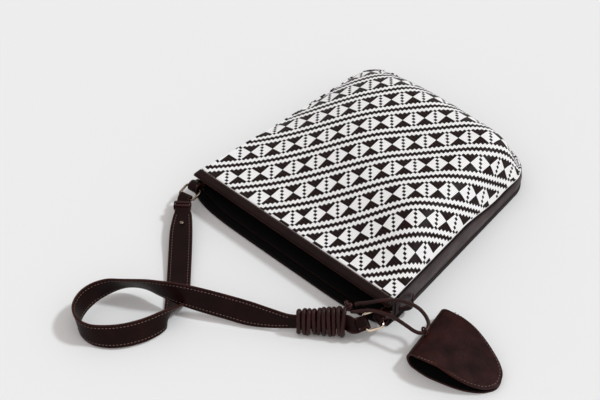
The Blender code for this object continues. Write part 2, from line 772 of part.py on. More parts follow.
def make_cord_wrap():
    """A coil whose turns are long rounded loops that fit the strap on its edge."""
    samples = wrap_line()
    loop = [(-1, -90 + 45 * step) for step in range(4)] + [(0, 0)]
    loop += [(1, 0 + 45 * step) for step in range(5)] + [(0, 180)]
    loop += [(-1, 180 + 45 * step) for step in range(2)]
    count = int(WRAP_TURNS * len(loop))
    points = []
    for index in range(count + 1):
        part = index / count
        place = part * (len(samples) - 1)
        low = min(int(place), len(samples) - 2)
        mixed = samples[low].lerp(samples[low + 1], place - low)
        along = (Vector(samples[low + 1][:3]) - Vector(samples[low][:3])).normalized()
        across = Vector(mixed[3:6])
        across = (across - along * across.dot(along)).normalized()
        deep = along.cross(across)
        tall = WRAP_HALF_HEIGHT_START + (WRAP_HALF_HEIGHT_END - WRAP_HALF_HEIGHT_START) * part
        wide = WRAP_HALF_DEPTH_START + (WRAP_HALF_DEPTH_END - WRAP_HALF_DEPTH_START) * part
        end, degrees = loop[index % len(loop)]
        turn = math.radians(degrees)
        points.append(Vector(mixed[:3])
                      + across * (end * (tall - wide) + wide * math.sin(turn) * abs(end))
                      + deep * wide * math.cos(turn))
    add_tube("cord_wrap", points, CORD_RADIUS, LEATHER)


def make_knot():
    """The tied lump beside the wrap's far shoulder: a short tight coil of the same cord."""
    centre = KNOT_CENTRE
    count = 20
    points = []
    for index in range(count + 1):
        turn = 2 * math.pi * KNOT_TURNS * index / count
        rise = KNOT_PITCH * KNOT_TURNS * (index / count - 0.5)
        points.append(centre + Vector((rise * 0.7 + KNOT_RADIUS * math.cos(turn) * 0.7,
                                       rise * 0.7 - KNOT_RADIUS * math.cos(turn) * 0.7,
                                       KNOT_RADIUS * math.sin(turn))))
    add_tube("cord_knot", points, 0.9 * CORD_RADIUS, LEATHER)


def make_charm_cord():
    samples = [Vector(sample) * MM for sample in smooth_curve(CHARM_CORD_ROUTE, 8)]
    add_tube("charm_cord", resample(samples, 36), CORD_RADIUS, LEATHER)


# Charm

def make_charm():
    """A leaf folded at its spine: lower flap on the floor, upper flap arched over it."""
    floor = CHARM_WALL / 2 + CHARM_FLOOR_GAP
    flap_steps = 5
    bend_steps = 6
    points = []
    for index, (x, y, upper) in enumerate(CHARM_OUTLINE):
        part = index / (len(CHARM_OUTLINE) - 1)
        root = CHARM_SPINE_START.lerp(CHARM_SPINE_END, part)
        radius = root.z - floor
        edge = Vector((x, y, 0)) * MM
        rib = Vector((edge.x - root.x, edge.y - root.y, 0)).normalized()
        low_root = Vector((root.x, root.y, floor)) + rib * radius
        high_root = low_root + Vector((0, 0, 2 * radius))
        for step in range(flap_steps):
            t = 1 - step / flap_steps
            points.append(low_root.lerp(Vector((edge.x, edge.y, floor)), t))
        for step in range(bend_steps + 1):
            turn = math.pi * step / bend_steps
            points.append(root + rib * radius * (1 - math.sin(turn))
                          - Vector((0, 0, radius * math.cos(turn))))
        for step in range(1, flap_steps + 1):
            t = step / flap_steps
            point = high_root.lerp(Vector((edge.x, edge.y, high_root.z)), t)
            point.z += (upper * MM - high_root.z) * t ** 1.5
            points.append(point)
    columns = 2 * flap_steps + bend_steps + 1
    charm = add_mesh("charm", points, grid_faces(len(CHARM_OUTLINE), columns), LEATHER)
    add_thickness(charm, CHARM_WALL, 0.0)


def make_charm_eye():
    """Small ring standing on the spine, round the charm's cord."""
    centre = Vector(EYE_PLACE) * MM
    axis_a = Vector((0.99, -0.12, 0)).normalized()
    axis_b = Vector((0, 0, 1))
    points = []
    for index in range(14):
        turn = 2 * math.pi * index / 14
        points.append(centre + (axis_a * math.cos(turn) + axis_b * math.sin(turn)) * EYE_RADIUS)
    add_tube("charm_eye", points, EYE_WIRE_RADIUS, LEATHER, closed=True)


def make_gusset_loop():
    """Short leather strip arched over the gusset, sewn down at both ends."""
    stations = []
    steps = 12
    for step in range(steps + 1):
        part = step / steps
        y = LOOP_START_Y + (LOOP_END_Y - LOOP_START_Y) * part
        stand = GUSSET_CROWN + FIT_GAP + LOOP_WALL / 2 + LOOP_REACH * math.sin(math.pi * part) ** 1.5
        stations.append((Vector((side_half_width(y, 0) + stand, y, LOOP_HEIGHT)),
                         Vector((0, 0, 1)), LOOP_WIDTH, LOOP_WALL))
    add_strip("gusset_loop", stations, LEATHER)


def make_all():
    make_front_panel()
    make_back_panel()
    make_piping()
    make_gusset()
    make_lining()
    make_bindings()
    left, right = ring_frames()
    make_tab("left_tab", -1, LEFT_TAB_BAR, left[1])
    make_tab("right_tab", 1, RIGHT_TAB_BAR, right[1])
    make_ring("left_ring", *left)
    make_ring("right_ring", *right)
    rivet_z = SIDE_DEPTH - FRONT_BINDING_WALL / 2 - FIT_GAP
    rivet_x = MOUTH_WIDTH / 2 - END_BINDING_WALL - FIT_GAP - RIVET_RADIUS
    make_rivet("left_rivet", -rivet_x, -BINDING_WIDTH / 2, rivet_z)
    make_rivet("right_rivet", rivet_x, -BINDING_WIDTH / 2, rivet_z)
    make_strap()
    make_cord_wrap()
    make_knot()
    make_charm_cord()
    make_charm()
    make_charm_eye()
    make_gusset_loop()


clear_scene()
BAG = make_collection("woven_shoulder_bag")
WEAVE = make_material("woven_strands", (0.86, 0.85, 0.84), 0.45)
LEATHER = make_material("brown_leather", (0.030, 0.014, 0.013), 0.5)
LINING = make_material("black_lining", (0.010, 0.009, 0.009), 0.9)
METAL = make_material("pale_gold_metal", (0.80, 0.68, 0.54), 0.25, 1.0)
make_all()
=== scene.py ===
# %% [markdown]
# Woven shoulder bag, dressed for its picture.
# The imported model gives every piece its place. This script gives each one its real surface:
# woven strands, soft leather with stitched edges, round cord, metal rings and a black lining.
# All lengths are in metres. X runs along the mouth, Y from the mouth to the base, Z up.

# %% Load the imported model
import math
import random

import bpy
import bmesh
import numpy as np
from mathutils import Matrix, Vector


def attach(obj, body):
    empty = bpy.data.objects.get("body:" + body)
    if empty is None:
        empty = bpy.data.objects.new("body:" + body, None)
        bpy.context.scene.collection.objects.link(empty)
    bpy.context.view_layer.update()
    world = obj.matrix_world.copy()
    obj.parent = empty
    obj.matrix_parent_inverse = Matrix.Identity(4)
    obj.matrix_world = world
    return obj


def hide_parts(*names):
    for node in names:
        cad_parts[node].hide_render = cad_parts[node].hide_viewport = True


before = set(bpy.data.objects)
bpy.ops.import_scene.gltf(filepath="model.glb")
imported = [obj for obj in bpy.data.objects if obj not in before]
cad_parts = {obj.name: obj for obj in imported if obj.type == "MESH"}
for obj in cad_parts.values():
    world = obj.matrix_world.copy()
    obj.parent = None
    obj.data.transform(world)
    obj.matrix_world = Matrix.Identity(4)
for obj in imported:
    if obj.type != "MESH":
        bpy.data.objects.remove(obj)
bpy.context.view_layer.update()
MM = 0.001

# %% [markdown]
# The camera comes first, because every choice after it is judged through it. It looks down
# at the bag from the mouth's right. A long lens from almost two metres away keeps the bag's
# two sides nearly parallel, as the photo shows them.

# %% Camera
CAMERA_PLACE = (0.86432, -0.91706, 1.35052)
CAMERA_TILT = math.radians(45)
CAMERA_TURN = math.radians(43)
scene = bpy.context.scene
lens = bpy.data.cameras.new("photo_camera")
lens.lens = 90
lens.sensor_width = 36
lens.dof.use_dof = False
camera = bpy.data.objects.new("photo_camera", lens)
camera.location = CAMERA_PLACE
camera.rotation_euler = (CAMERA_TILT, 0, CAMERA_TURN)
scene.collection.objects.link(camera)
scene.camera = camera
print("camera with a lens of", lens.lens, "mm")

# %% [markdown]
# Two small tools serve every material. One turns the hex code that a picture editor shows
# into linear light, which shaders need. The other adds a shader or geometry node and links
# its inputs in one call; a node given as an input stands for its first output.

# %% Colours and nodes


def linear(code):
    """Linear RGBA from an sRGB hex colour."""
    parts = [int(code[place:place + 2], 16) / 255 for place in (1, 3, 5)]
    return tuple(c / 12.92 if c <= 0.04045 else ((c + 0.055) / 1.055) ** 2.4
                 for c in parts) + (1.0,)


def add_node(tree, kind, inputs=None, **settings):
    """A new node; inputs maps a socket's name or number to a value, a socket or a node."""
    node = tree.nodes.new(kind)
    for name, value in settings.items():
        setattr(node, name, value)
    for socket, source in (inputs or {}).items():
        if isinstance(source, bpy.types.Node):
            source = source.outputs[0]
        if isinstance(source, bpy.types.NodeSocket):
            tree.links.new(source, node.inputs[socket])
        else:
            node.inputs[socket].default_value = source
    return node


def new_material(name):
    material = bpy.data.materials.new(name)
    material.use_nodes = True
    return material, material.node_tree, material.node_tree.nodes["Principled BSDF"]


print("middle grey in linear light:", round(linear("#808080")[0], 3))

# %% [markdown]
# The leather is a smooth cowhide, dyed dark brown and finished. One flat brown would look
# like plastic, so its tone drifts over some centimetres and fine pores darken and dent it.
# The pores are drawn coarser than real ones, about a millimetre apart, so that they show.
# A low specular level keeps the dark brown dark under a bright sky, as the finish is dull.

# %% Leather
TONE_DRIFT = 26 * MM
FINE_GRAIN = 2.2 * MM


def make_leather(name, dark, light, roughness, pore=0.9 * MM, relief=0.12 * MM, gloss=0.07):
    material, tree, shader = new_material(name)
    place = add_node(tree, "ShaderNodeTexCoord").outputs["Object"]
    cloud = add_node(tree, "ShaderNodeTexNoise", {
        "Vector": place, "Scale": 1 / TONE_DRIFT, "Detail": 5.0, "Roughness": 0.62})
    fine = add_node(tree, "ShaderNodeTexNoise", {
        "Vector": place, "Scale": 1 / FINE_GRAIN, "Detail": 3.0, "Roughness": 0.55})
    pores = add_node(tree, "ShaderNodeTexVoronoi", {
        "Vector": place, "Scale": 1 / pore, "Randomness": 1.0}, feature="DISTANCE_TO_EDGE")
    tone = add_node(tree, "ShaderNodeMapRange", {
        "Value": cloud, "From Min": 0.32, "From Max": 0.72})
    hide = add_node(tree, "ShaderNodeMix", {
        "Factor": tone, "A": linear(dark), "B": linear(light)}, data_type="RGBA")
    pit = add_node(tree, "ShaderNodeMapRange", {
        "Value": pores, "From Min": 0.0, "From Max": 0.12, "To Min": 0.72, "To Max": 1.0})
    shade = add_node(tree, "ShaderNodeCombineColor", {0: pit, 1: pit, 2: pit})
    pitted = add_node(tree, "ShaderNodeMix", {
        "Factor": 1.0, "A": hide.outputs["Result"], "B": shade},
        data_type="RGBA", blend_type="MULTIPLY")
    tree.links.new(pitted.outputs["Result"], shader.inputs["Base Color"])
    broad = add_node(tree, "ShaderNodeMapRange", {
        "Value": cloud, "From Min": 0.3, "From Max": 0.7,
        "To Min": roughness + 0.07, "To Max": roughness - 0.05})
    close = add_node(tree, "ShaderNodeMapRange", {
        "Value": fine, "From Min": 0.3, "From Max": 0.7, "To Min": -0.03, "To Max": 0.04})
    rough = add_node(tree, "ShaderNodeMath", {0: broad, 1: close}, operation="ADD")
    tree.links.new(rough.outputs[0], shader.inputs["Roughness"])
    dents = add_node(tree, "ShaderNodeMapRange", {
        "Value": pores, "From Min": 0.0, "From Max": 0.2})
    grain = add_node(tree, "ShaderNodeMath", {0: fine, 1: 0.8}, operation="MULTIPLY")
    height = add_node(tree, "ShaderNodeMath", {0: dents, 1: grain}, operation="ADD")
    bump = add_node(tree, "ShaderNodeBump", {
        "Height": height, "Strength": 0.35, "Distance": relief})
    tree.links.new(bump.outputs["Normal"], shader.inputs["Normal"])
    shader.inputs["Specular IOR Level"].default_value = gloss
    return material


# Strap and tabs: the smoothest and darkest hide, with a soft narrow sheen
STRAP_LEATHER = make_leather("smooth_strap_leather", "#150706", "#230f0e", 0.33)
# Bindings and piping: the same hide buffed a little duller, so that they read as flat strips
BINDING_LEATHER = make_leather("binding_leather", "#160908", "#210f0e", 0.40)
# Gusset: the same hide coloured paler and greyer, a painted sheen of the sky along the bag's side, so
# that it stands out from its shadow
GUSSET_SHEEN_LEATHER = make_leather("gusset_painted_sheen_leather", "#2c1c1d", "#403031", 0.40, gloss=0.2)
# Charm: waxed hide, whose coarser grain breaks its sheen into flecks
CHARM_LEATHER = make_leather("waxed_charm_leather", "#180807", "#361b19", 0.30, 1.3 * MM,
                             0.3 * MM, gloss=0.05)
# Cord: round and waxed, so that each turn of the wrap carries its own bright line
CORD_LEATHER = make_leather("round_cord_leather", "#210d0b", "#3a1b18", 0.24, 0.7 * MM, gloss=0.16)
# Cut edges: painted a shade redder and lighter, which draws a thin line round each strip
PAINTED_EDGE = make_leather("painted_leather_edge", "#2c1512", "#42231d", 0.34, 0.6 * MM)
print("six finishes of leather made")

# %% [markdown]
# The lining is a ribbed black cloth that swallows light. The thread is waxed and paler than
# the leather, and the fittings are plated in pale gold. Each pattern is drawn on Object
# coordinates at its own size, so that it stays put on the piece when a joint moves.

# %% Lining, thread and metal
LINING_RIB = 6 * MM
THREAD_TWIST = 0.6 * MM
PLATING_WEAR = 3 * MM


def make_lining():
    material, tree, shader = new_material("black_lining_cloth")
    place = add_node(tree, "ShaderNodeTexCoord").outputs["Object"]
    ribs = add_node(tree, "ShaderNodeTexWave", {
        "Vector": place, "Scale": 1 / LINING_RIB, "Distortion": 0.6}, bands_direction="X")
    colour = add_node(tree, "ShaderNodeMix", {
        "Factor": ribs.outputs["Fac"], "A": linear("#080707"), "B": linear("#0f0d0d")},
        data_type="RGBA")
    tree.links.new(colour.outputs["Result"], shader.inputs["Base Color"])
    shader.inputs["Roughness"].default_value = 0.95
    shader.inputs["Specular IOR Level"].default_value = 0.1
    bump = add_node(tree, "ShaderNodeBump", {
        "Height": ribs.outputs["Fac"], "Strength": 0.3, "Distance": 0.1 * MM})
    tree.links.new(bump.outputs["Normal"], shader.inputs["Normal"])
    return material


def make_thread():
    material, tree, shader = new_material("waxed_thread")
    place = add_node(tree, "ShaderNodeTexCoord").outputs["Object"]
    twist = add_node(tree, "ShaderNodeTexNoise", {"Vector": place, "Scale": 1 / THREAD_TWIST})
    colour = add_node(tree, "ShaderNodeMix", {
        "Factor": twist, "A": linear("#543a33"), "B": linear("#7d6157")}, data_type="RGBA")
    tree.links.new(colour.outputs["Result"], shader.inputs["Base Color"])
    shader.inputs["Roughness"].default_value = 0.6
    return material


def make_metal(name, dark, light):
    material, tree, shader = new_material(name)
    place = add_node(tree, "ShaderNodeTexCoord").outputs["Object"]
    wear = add_node(tree, "ShaderNodeTexNoise", {
        "Vector": place, "Scale": 1 / PLATING_WEAR, "Detail": 4.0})
    colour = add_node(tree, "ShaderNodeMix", {
        "Factor": wear, "A": linear(dark), "B": linear(light)}, data_type="RGBA")
    tree.links.new(colour.outputs["Result"], shader.inputs["Base Color"])
    rough = add_node(tree, "ShaderNodeMapRange", {
        "Value": wear, "From Min": 0.3, "From Max": 0.7, "To Min": 0.12, "To Max": 0.24})
    tree.links.new(rough.outputs[0], shader.inputs["Roughness"])
    shader.inputs["Metallic"].default_value = 1.0
    return material


LINING = make_lining()
THREAD = make_thread()
# Right ring and rivets: polished plating that mirrors the bright floor
METAL = make_metal("polished_pale_gold", "#dcc0a2", "#efdcc8")
# Left ring and stud: the same pale gold plating coloured darker, a painted shade and painted reflection
# of the dark leather beside them
SHADED_METAL = make_metal("shaded_pale_gold", "#54463b", "#8a7868")
print("lining, thread and two platings made")

# %% [markdown]
# The panels are woven from flat strands. Modelling every strand would take millions of
# faces, and a picture of them would blur close up, so the material draws them. It reads a UV
# map whose unit is one cell of the pattern. Each cell holds two strands side by side: the
# shader draws a groove at every half unit, paints shade into the colour so that each strand
# darkens towards its grooves, and gives each strand its own tone.

# %% Woven strands
STRANDS_PER_CELL = 2.0


def make_strands(name, edge, middle, axis, spread, roughness):
    """Flat strands that run along one axis of the cell map; axis 0 sets them side by side in u."""
    material, tree, shader = new_material(name)
    cells = add_node(tree, "ShaderNodeUVMap", uv_map="cells")
    split = add_node(tree, "ShaderNodeSeparateXYZ", {"Vector": cells})
    counted = add_node(tree, "ShaderNodeMath", {0: split.outputs[axis], 1: STRANDS_PER_CELL},
                       operation="MULTIPLY")
    number = add_node(tree, "ShaderNodeMath", {0: counted}, operation="FLOOR")
    across = add_node(tree, "ShaderNodeMath", {0: counted, 1: number}, operation="SUBTRACT")
    half_turn = add_node(tree, "ShaderNodeMath", {0: across, 1: math.pi}, operation="MULTIPLY")
    ridge = add_node(tree, "ShaderNodeMath", {0: half_turn}, operation="SINE")
    flat = add_node(tree, "ShaderNodeMath", {0: ridge, 1: 0.4}, operation="POWER")
    own = add_node(tree, "ShaderNodeTexWhiteNoise", {"W": number}, noise_dimensions="1D")
    stretched = add_node(tree, "ShaderNodeMapping", {
        "Vector": cells, "Scale": (6.0, 0.6, 1.0) if axis == 0 else (0.6, 6.0, 1.0)})
    fibres = add_node(tree, "ShaderNodeTexNoise", {
        "Vector": stretched, "Scale": 1.0, "Detail": 3.0})
    own_tone = add_node(tree, "ShaderNodeMapRange", {
        "Value": own, "From Min": 0, "From Max": 1, "To Min": 1 - spread, "To Max": 1.0})
    fibre_tone = add_node(tree, "ShaderNodeMapRange", {
        "Value": fibres, "From Min": 0.3, "From Max": 0.7,
        "To Min": -spread / 2, "To Max": spread / 2})
    tone = add_node(tree, "ShaderNodeMath", {0: own_tone, 1: fibre_tone}, operation="ADD")
    # Painted shade in the grooves: each strand's colour runs from the edge colour at its grooves to the
    # middle colour on its crown
    colour = add_node(tree, "ShaderNodeMix", {
        "Factor": flat, "A": linear(edge), "B": linear(middle)}, data_type="RGBA")
    shade = add_node(tree, "ShaderNodeCombineColor", {0: tone, 1: tone, 2: tone})
    toned = add_node(tree, "ShaderNodeMix", {
        "Factor": 1.0, "A": colour.outputs["Result"], "B": shade},
        data_type="RGBA", blend_type="MULTIPLY")
    tree.links.new(toned.outputs["Result"], shader.inputs["Base Color"])
    shader.inputs["Roughness"].default_value = roughness
    shader.inputs["Specular IOR Level"].default_value = 0.1
    bump = add_node(tree, "ShaderNodeBump", {
        "Height": flat, "Strength": 0.6, "Distance": 0.3 * MM})
    tree.links.new(bump.outputs["Normal"], shader.inputs["Normal"])
    return material


# Ground strands: bright and matt, with painted shade in grey grooves that show the weave only close up
WHITE_STRANDS = make_strands("white_strands", "#bcb7b6", "#fefdfd", 0, 0.03, 0.5)
# Pattern strands: a brown so dark that only their ridges show it, with painted shade darker still in
# the grooves
DARK_STRANDS = make_strands("dark_strands", "#100605", "#22100d", 1, 0.3, 0.34)
print("white and dark strands made")

# %% [markdown]
# Every piece ends the same way, so three tools come next. One makes an object from points
# and faces, one turns its faces outwards, and one puts it on its moving body in place of the
# plain solids that it stands for.

# %% Making and placing a piece


def make_object(name, points, faces, materials, slots=None):
    mesh = bpy.data.meshes.new(name)
    mesh.from_pydata([tuple(point) for point in points], [], [tuple(face) for face in faces])
    for material in materials:
        mesh.materials.append(material)
    if slots is not None:
        mesh.polygons.foreach_set("material_index", slots)
    mesh.update()
    mesh.shade_smooth()
    item = bpy.data.objects.new(name, mesh)
    scene.collection.objects.link(item)
    return item


def face_outward(item):
    shell = bmesh.new()
    shell.from_mesh(item.data)
    bmesh.ops.recalc_face_normals(shell, faces=shell.faces)
    shell.to_mesh(item.data)
    shell.free()


def settle(item, body, slot, *nodes):
    """Put a finished piece on its body, in place of its CAD nodes."""
    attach(item, body)
    if nodes:
        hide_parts(*nodes)
    print(f"{item.name}: {len(item.data.polygons)} faces on {body}")
    return item


# %% [markdown]
# The strap and the cords lie in free curves. A curve through a few chosen points, evenly
# divided, gives them stations without kinks. It is worked out here, and not with a curve
# object, because the strap's stations carry a direction and a width as well.

# %% Smooth lines


def smooth_curve(points, steps):
    """Catmull-Rom curve through tuples of any length, with steps samples per span."""
    samples = []
    count = len(points)
    for span in range(count - 1):
        before = points[max(span - 1, 0)]
        start = points[span]
        end = points[span + 1]
        after = points[min(span + 2, count - 1)]
        for step in range(steps):
            t = step / steps
            samples.append(tuple(
                0.5 * (2 * b + (c - a) * t + (2 * a - 5 * b + 4 * c - d) * t * t
                       + (3 * b - a - 3 * c + d) * t ** 3)
                for a, b, c, d in zip(before, start, end, after)))
    samples.append(tuple(points[-1]))
    return samples


def resample(points, count):
    """The same polyline with count points evenly spaced along it."""
    lengths = [0.0]
    for first, second in zip(points, points[1:]):
        lengths.append(lengths[-1] + (Vector(second[:3]) - Vector(first[:3])).length)
    evenly = []
    span = 0
    for index in range(count):
        target = lengths[-1] * index / (count - 1)
        while span < len(points) - 2 and lengths[span + 1] < target:
            span += 1
        part = (target - lengths[span]) / max(lengths[span + 1] - lengths[span], 1e-9)
        evenly.append(points[span].lerp(points[span + 1], min(max(part, 0.0), 1.0)))
    return evenly


print("a curve through 3 points in 4 steps has", len(smooth_curve(((0,), (1,), (2,)), 4)), "points")

# %% [markdown]
# Strap, tabs, bindings and keepers are flat strips of leather. Each is a section swept
# through stations that hold its middle, the direction of its width, its width and its wall.
# The long edges are half round and take the painted edge's material, as on the real strips.

# %% Strips
EDGE_STEPS = 6
FLAT_STEPS = 4
EDGE_FULLNESS = 0.9


def strip_section(width, wall):
    """Section of a strip as (across, deep) pairs, and which of its sides are painted edge."""
    deep = wall / 2
    straight = width / 2 - deep * EDGE_FULLNESS
    pairs = []
    painted = []
    for side in (1, -1):
        for step in range(EDGE_STEPS + 1):
            turn = math.radians(-90 + 180 * step / EDGE_STEPS)
            pairs.append((side * (straight + EDGE_FULLNESS * deep * math.cos(turn)),
                          side * deep * math.sin(turn)))
            painted.append(step < EDGE_STEPS)
        for step in range(1, FLAT_STEPS):
            pairs.append((side * straight * (1 - 2 * step / FLAT_STEPS), side * deep))
            painted.append(False)
    return pairs, painted


def strip_frames(stations, closed=False, normal=None):
    """Middle, width direction and face direction at each station."""
    frames = []
    count = len(stations)
    for index, (centre, across, _, _) in enumerate(stations):
        before = stations[(index - 1) % count if closed else max(index - 1, 0)][0]
        after = stations[(index + 1) % count if closed else min(index + 1, count - 1)][0]
        along = (after - before).normalized()
        if normal is None:
            across = (across - along * across.dot(along)).normalized()
        frames.append((centre, across, normal or along.cross(across)))
    return frames


def make_strip(name, stations, materials, closed=False, normal=None):
    frames = strip_frames(stations, closed, normal)
    points = []
    for (centre, across, face), (_, _, width, wall) in zip(frames, stations):
        pairs, painted = strip_section(width, wall)
        points += [centre + across * u + face * v for u, v in pairs]
    size = len(painted)
    faces = []
    slots = []
    for row in range(len(stations) if closed else len(stations) - 1):
        first = row * size
        second = ((row + 1) % len(stations)) * size
        for side in range(size):
            following = (side + 1) % size
            faces.append((first + side, first + following, second + following, second + side))
            slots.append(1 if painted[side] else 0)
    if not closed:
        last = (len(stations) - 1) * size
        faces += [tuple(reversed(range(size))), tuple(last + side for side in range(size))]
        slots += [1, 1]
    item = make_object(name, points, faces, materials, slots)
    face_outward(item)
    return item


print("a strip has", len(strip_section(1, 0.1)[0]), "points round its section")

# %% [markdown]
# Round cord, ring wire and piping are tubes. A curve object with a bevel would do, but it
# twists where a knot turns tightly. This one carries its direction from ring to ring, so its
# faces stay even.

# %% Tubes
TUBE_SIDES = 12


def make_tube(name, points, radius, material, sides=TUBE_SIDES, closed=False):
    """Round cord through points."""
    count = len(points)
    points = [Vector(point) for point in points]
    aside = None
    rings = []
    for index, point in enumerate(points):
        before = points[(index - 1) % count if closed else max(index - 1, 0)]
        after = points[(index + 1) % count if closed else min(index + 1, count - 1)]
        along = (after - before).normalized()
        if aside is None:
            aside = along.orthogonal().normalized()
        aside = (aside - along * aside.dot(along)).normalized()
        other = along.cross(aside)
        for side in range(sides):
            turn = 2 * math.pi * side / sides
            rings.append(point + (aside * math.cos(turn) + other * math.sin(turn)) * radius)
    faces = []
    for row in range(count if closed else count - 1):
        first = row * sides
        second = ((row + 1) % count) * sides
        for side in range(sides):
            following = (side + 1) % sides
            faces.append((first + side, first + following, second + following, second + side))
    if not closed:
        last = (count - 1) * sides
        faces += [tuple(reversed(range(sides))), tuple(last + side for side in range(sides))]
    item = make_object(name, rings, faces, [material])
    face_outward(item)
    return item


print("a tube has", TUBE_SIDES, "sides unless its piece asks for others")

# %% [markdown]
# Stitches repeat along every sewn edge, so one geometry node group makes them all: it puts
# a small capsule every few millimetres along a guide curve. The result is turned into plain
# mesh, and the guide is deleted.

# %% One stitch and its node group
STITCH_SPACING = 4.2 * MM
STITCH_RADIUS = 0.42 * MM
STITCH_HALF_LENGTH = 1.25 * MM
STITCH_STAND = 0.08 * MM


def make_stitch_shape():
    """One stitch: a capsule along Z, thin at both ends."""
    rings = ((-1.0, 0.25), (-0.8, 0.8), (-0.3, 1.0), (0.3, 1.0), (0.8, 0.8), (1.0, 0.25))
    points = []
    for height, share in rings:
        for side in range(6):
            turn = math.pi * side / 3
            points.append((STITCH_RADIUS * share * math.cos(turn),
                           STITCH_RADIUS * share * math.sin(turn), STITCH_HALF_LENGTH * height))
    faces = [(row * 6 + side, row * 6 + (side + 1) % 6, row * 6 + 6 + (side + 1) % 6,
              row * 6 + 6 + side) for row in range(5) for side in range(6)]
    faces += [tuple(reversed(range(6))), tuple(30 + side for side in range(6))]
    return make_object("stitch_shape", points, faces, [THREAD])


def make_stitch_group():
    group = bpy.data.node_groups.new("stitch_row", "GeometryNodeTree")
    for name, kind in (("Geometry", "Geometry"), ("Stitch", "Object"), ("Spacing", "Float"),
                       ("Thread", "Material")):
        group.interface.new_socket(name, in_out="INPUT", socket_type=f"NodeSocket{kind}")
    group.interface.new_socket("Geometry", in_out="OUTPUT", socket_type="NodeSocketGeometry")
    given = add_node(group, "NodeGroupInput").outputs
    spots = add_node(group, "GeometryNodeCurveToPoints",
                     {"Curve": given["Geometry"], "Length": given["Spacing"]}, mode="LENGTH")
    shape = add_node(group, "GeometryNodeObjectInfo", {"Object": given["Stitch"]})
    placed = add_node(group, "GeometryNodeInstanceOnPoints", {
        "Points": spots.outputs["Points"], "Instance": shape.outputs["Geometry"],
        "Rotation": spots.outputs["Rotation"]})
    real = add_node(group, "GeometryNodeRealizeInstances", {0: placed})
    painted = add_node(group, "GeometryNodeSetMaterial",
                       {"Geometry": real, "Material": given["Thread"]})
    add_node(group, "NodeGroupOutput", {0: painted})
    return group


STITCH = make_stitch_shape()
STITCH_ROW = make_stitch_group()
print("a stitch has", len(STITCH.data.polygons), "faces")

# %% [markdown]
# A seam is one or more rows of stitches. Each row's points come from the strip that it
# holds: a fixed distance in from the strip's edge, and just above its face.

# %% Rows of stitches


def make_stitches(name, rows, body):
    """Stitches along each row of points, as one piece that rides on the body."""
    curve = bpy.data.curves.new(name, "CURVE")
    curve.dimensions = "3D"
    for row in rows:
        spline = curve.splines.new("POLY")
        spline.points.add(len(row) - 1)
        for slot, point in zip(spline.points, row):
            slot.co = (*point, 1.0)
    guide = bpy.data.objects.new(name + "_guide", curve)
    scene.collection.objects.link(guide)
    sewing = guide.modifiers.new("Sewing", "NODES")
    sewing.node_group = STITCH_ROW
    for socket in STITCH_ROW.interface.items_tree:
        if socket.in_out == "INPUT" and socket.name != "Geometry":
            sewing[socket.identifier] = {"Stitch": STITCH, "Spacing": STITCH_SPACING,
                                         "Thread": THREAD}[socket.name]
    bpy.context.view_layer.update()
    sewn = guide.evaluated_get(bpy.context.evaluated_depsgraph_get())
    mesh = bpy.data.meshes.new_from_object(sewn)
    bpy.data.objects.remove(guide)
    mesh.name = name
    item = bpy.data.objects.new(name, mesh)
    scene.collection.objects.link(item)
    return settle(item, body, "brown_leather")


def edge_row(stations, inset, side, face_side=1, normal=None, first=0, last=None):
    """Points just above a strip's face, inset from one of its long edges."""
    frames = strip_frames(stations, normal=normal)
    row = []
    for (centre, across, face), (_, _, width, wall) in list(zip(frames, stations))[first:last]:
        row.append(centre + across * side * (width / 2 - inset)
                   + face * face_side * (wall / 2 + STITCH_STAND))
    return row


print("one stitch every", round(STITCH_SPACING / MM, 1), "mm")

# %% [markdown]
# The charm's cord is the one free cord. Its route is the model's own: out of the knot, over
# the mouth's corner, through the eye on the charm and back to the knot. The photo shows it
# from end to end, so its length is the length of this line. Its points are listed one by one,
# because they follow the photo and not a rule.

# %% The charm's cord
CORD_RADIUS = 1.9 * MM
CHARM_CORD_RADIUS = 2.3 * MM
WRAP_CORD_RADIUS = 2.7 * MM
CHARM_CORD_ROUTE = (
    (129.0, -35.2, 31.4), (131.5, -31.5, 33), (141, -25.5, 37), (152, -17, 41.5),
    (165, -7, 44.5), (178, 1, 43.5),
    (190, 6, 39.5), (200, 7, 33.5), (207.5, 4, 29.8), (211.5, -1.5, 28.4), (212.4, -8, 28.2),
    (210.2, -13.6, 28.2), (203.5, -16.6, 29), (192.5, -18, 31), (179, -20, 33.5),
    (165, -23.5, 34.6), (151.5, -29, 34), (141, -36, 31.5), (134.5, -41.5, 29),
    (130.3, -43.2, 28.2),
)
cord_line = resample([Vector(point) * MM for point in smooth_curve(CHARM_CORD_ROUTE, 8)], 120)
charm_cord = make_tube("charm_cord_leather", cord_line, CHARM_CORD_RADIUS, CORD_LEATHER, sides=14)
settle(charm_cord, "charm", "brown_leather", "charm_cord")

# %% [markdown]
# The bag is a soft body: a tapered outline with rounded base corners, whose front swells
# over what it carries and sags at the base's right corner. A cloth simulation would fold it
# anew at every change, so its form is a rule instead. The rule is the same as in the model,
# written for whole arrays of points. First comes the outline.

